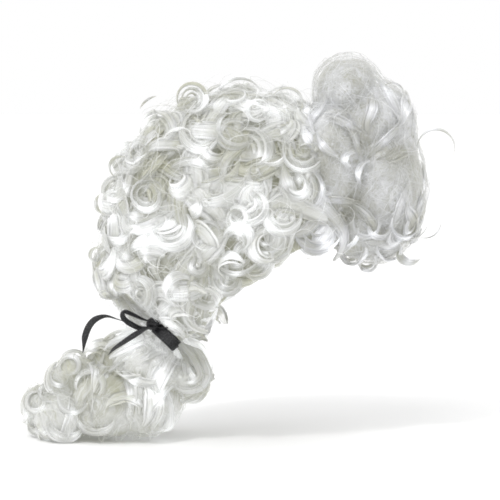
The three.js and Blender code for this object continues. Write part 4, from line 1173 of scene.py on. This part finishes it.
# Catmull-Rom curve through the points, with its ends carried on.
def smoothRoute(points, steps):
    points = np.asarray(points, float)
    full = np.concatenate([[2 * points[0] - points[1]], points, [2 * points[-1] - points[-2]]])
    place = np.linspace(0, len(points) - 1, steps)
    k = np.minimum(place.astype(int), len(points) - 2)
    t = (place - k)[:, None]
    a, b, c, d = full[k], full[k + 1], full[k + 2], full[k + 3]
    return 0.5 * (2 * b + (c - a) * t + (2 * a - 5 * b + 4 * c - d) * t ** 2
                  + (3 * b - a - 3 * c + d) * t ** 3)


# Vectors turned about unit axes: v cos a + (k x v) sin a.
def turned(vectors, axes, angles):
    c, s = np.cos(angles)[:, None], np.sin(angles)[:, None]
    return vectors * c + np.cross(axes, vectors) * s


# Black satin: fine weave grain along the strip, with a painted sheen that makes its raised threads lighter.
def ribbonMaterial():
    s = Shader("black satin", Roughness=ribbon["rough"])
    grain = s.node("ShaderNodeTexNoise", {"noise_dimensions": "2D"}, {
        "Vector": s.node("ShaderNodeUVMap", {"uv_map": "fibre"}, []), "Scale": ribbon["weave"],
        "Detail": ribbon["detail"], "Roughness": ribbon["coarse"]})
    s.feed("Base Color", s.mix(grain.between(*ribbon["thread"]), ribbon["dark"], ribbon["light"]))
    s.bump(grain, ribbon["bump"], ribbon["relief"])
    return s.material


# Flat strip along a bow's route. A cut end slants: its section draws in to one corner.
def ribbonStrip(piece, bow, local):
    steps = ribbon["steps"] * (len(bow["route"]) - 1) + 1
    path = smoothRoute(bow["route"], steps) * bow["length"] * mm + ribbon["knot"]
    tangent = unit(np.gradient(path, axis=0))
    across = unit(left - tangent * tangent[:, 1:2])
    turns = bow["turns"]
    twist = np.interp(np.linspace(0, len(turns) - 1, steps), np.arange(len(turns)), turns)
    across = turned(across, tangent, np.radians(twist))
    piece.tubes(path[None], np.cross(tangent, across)[None], np.full(1, ribbon["width"] / 2),
                np.full(1, ribbon["wall"] / 2), np.zeros(1), ribbon["sides"], 0, 1.0, local)
    if bow["cut"]:
        points = piece.parts[-1][0]
        ring = points[:-2].reshape(steps, -1, 3)
        cut = np.clip((np.linspace(0, 1, steps) - ribbon["cutFrom"]) / (1 - ribbon["cutFrom"]), 0, 1)
        corner = path[:, None] + across[:, None] * ribbon["width"] * ribbon["cutSide"]
        points[:-2] = (ring + (corner - ring) * cut[:, None, None] * ribbon["cutDepth"]).reshape(-1, 3)


# Turns of the ribbon round the hair, bunched and a little astray along the tie's axis.
def ribbonBand(piece, local):
    n = wraps["count"]
    a = np.linspace(0, wraps["turn"], wraps["steps"]) + np.arange(n)[:, None]
    out = aroundTie(a)
    a = a[..., None]
    shift = np.linspace(-wraps["reach"], wraps["reach"], n)[:, None, None]
    shift = (shift + wraps["stray"] * np.sin(wraps["strays"] * a + wraps["phase"])) * mm
    radius = tie["radius"] + wraps["over"] + wraps["lump"] * np.sin(wraps["lumps"] * a)
    path = tie["centre"] + out * radius + tie["axis"] * shift
    piece.tubes(path, out, np.full(n, wraps["wide"]), np.full(n, wraps["deep"]), np.zeros(n),
                ribbon["sides"], 0, 1.0, local)


# Knot: folds that go most of the way round it at random tilts, over a lumpy core.
def ribbonKnot(piece, local):
    n = folds["count"]
    draw = drawer(folds, n, local)
    a = np.linspace(-folds["turn"], folds["turn"], folds["steps"])[None, :, None]
    tilt = draw("tilt")
    u = np.stack([np.cos(tilt), folds["flat"] * np.sin(tilt), np.sin(tilt)], -1)[:, None]
    v = unit(np.cross(u, [0.1, 1.0, 0.1]))
    size = draw("size")[:, None, None] * mm
    loop = np.cos(a) * u + folds["deep"] * np.sin(a) * np.array([0, -1.0, 0.1])
    path = ribbon["knot"] + size * loop + v * folds["shift"] * np.sin(a)
    piece.tubes(path, unit(path - ribbon["knot"]), np.full(n, folds["wide"]), np.full(n, folds["thick"]),
                np.zeros(n), ribbon["sides"], 0, folds["tip"], local)
    piece.core(dict(centre=ribbon["knot"], radii=folds["core"]), folds["along"], folds["tone"],
               folds["seed"], folds["lump"])


def makeRibbon(local):
    piece = Hair("ribbon", ["ribbon_band", "ribbon_knot", "ribbon_loop", "ribbon_small_loop",
                            "ribbon_long_tail", "ribbon_short_tail"], [dome])
    for bow in bows:
        ribbonStrip(piece, bow, local)
    ribbonBand(piece, local)
    ribbonKnot(piece, local)
    piece.make(ribbonMaterial(), "black_ribbon", False)


# Cap: a fine net of threads between cells in its own coordinates, as colour and relief.
capNet = dict(rough=0.8, cells=420.0, thread=(0.02, 0.09), light=(0.80, 0.79, 0.75), dark=(0.52, 0.51, 0.46),
              bump=0.5, relief=0.5 * mm)


def makeCap():
    s = Shader("cap net", Roughness=capNet["rough"])
    cells = s.node("ShaderNodeTexVoronoi", {"feature": "DISTANCE_TO_EDGE"}, {
        "Vector": s.node("ShaderNodeTexCoord", {}, [], 3), "Scale": capNet["cells"]})
    thread = cells.between(*capNet["thread"])
    s.feed("Base Color", s.mix(thread, capNet["light"], capNet["dark"]))
    s.bump(thread, capNet["bump"], capNet["relief"], True)
    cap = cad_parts["wig_cap"]
    cap.data.materials.clear()
    cap.data.materials.append(s.material)


makeRibbon(np.random.default_rng(ribbon["seed"]))
makeCap()
print("ribbon and cap made")


# Floor and light: a pale floor and an even sky, with a soft key and a small glint from high in
# front. Each lamp has its place, how wide it looks in degrees, and its strength.
stage = dict(floorZ=-0.2805, size=9.0, floor=(0.96, 0.96, 0.96), rough=0.9, sky=1.0, filter=1.8,
             bounces=24, softBounces=16)
lamps = [("key", (-0.35, -0.8, 1.1), 30.0, 0.6), ("glint", (-0.45, -0.8, 1.1), 6.0, 0.55)]


def makeStage():
    mesh = bpy.data.meshes.new("floor")
    s, z = stage["size"], stage["floorZ"]
    mesh.from_pydata([(-s, -s, z), (s, -s, z), (s, s, z), (-s, s, z)], [], [(0, 1, 2, 3)])
    floor = bpy.data.objects.new("floor", mesh)
    bpy.context.scene.collection.objects.link(floor)
    pale = Shader("pale floor", Roughness=stage["rough"])
    pale.feed("Base Color", stage["floor"])
    mesh.materials.append(pale.material)
    world = bpy.data.worlds.new("sky")
    world.use_nodes = True
    sky = world.node_tree.nodes["Background"].inputs
    sky["Color"].default_value, sky["Strength"].default_value = (1, 1, 1, 1), stage["sky"]
    bpy.context.scene.world = world
    for name, (x, y, z), wide, power in lamps:
        data = bpy.data.lights.new(name, "SUN")
        data.angle, data.energy = math.radians(wide), power
        lamp = bpy.data.objects.new(name, data)
        bpy.context.scene.collection.objects.link(lamp)
        lamp.rotation_euler = (math.atan2(math.hypot(x, y), z), 0, math.atan2(-y, -x) - math.pi / 2)
    bpy.context.scene.view_settings.view_transform = "Standard"
    paths = bpy.context.scene.cycles
    paths.max_bounces, paths.diffuse_bounces = stage["bounces"], stage["softBounces"]
    paths.filter_width = stage["filter"]


makeStage()
print("stage set")
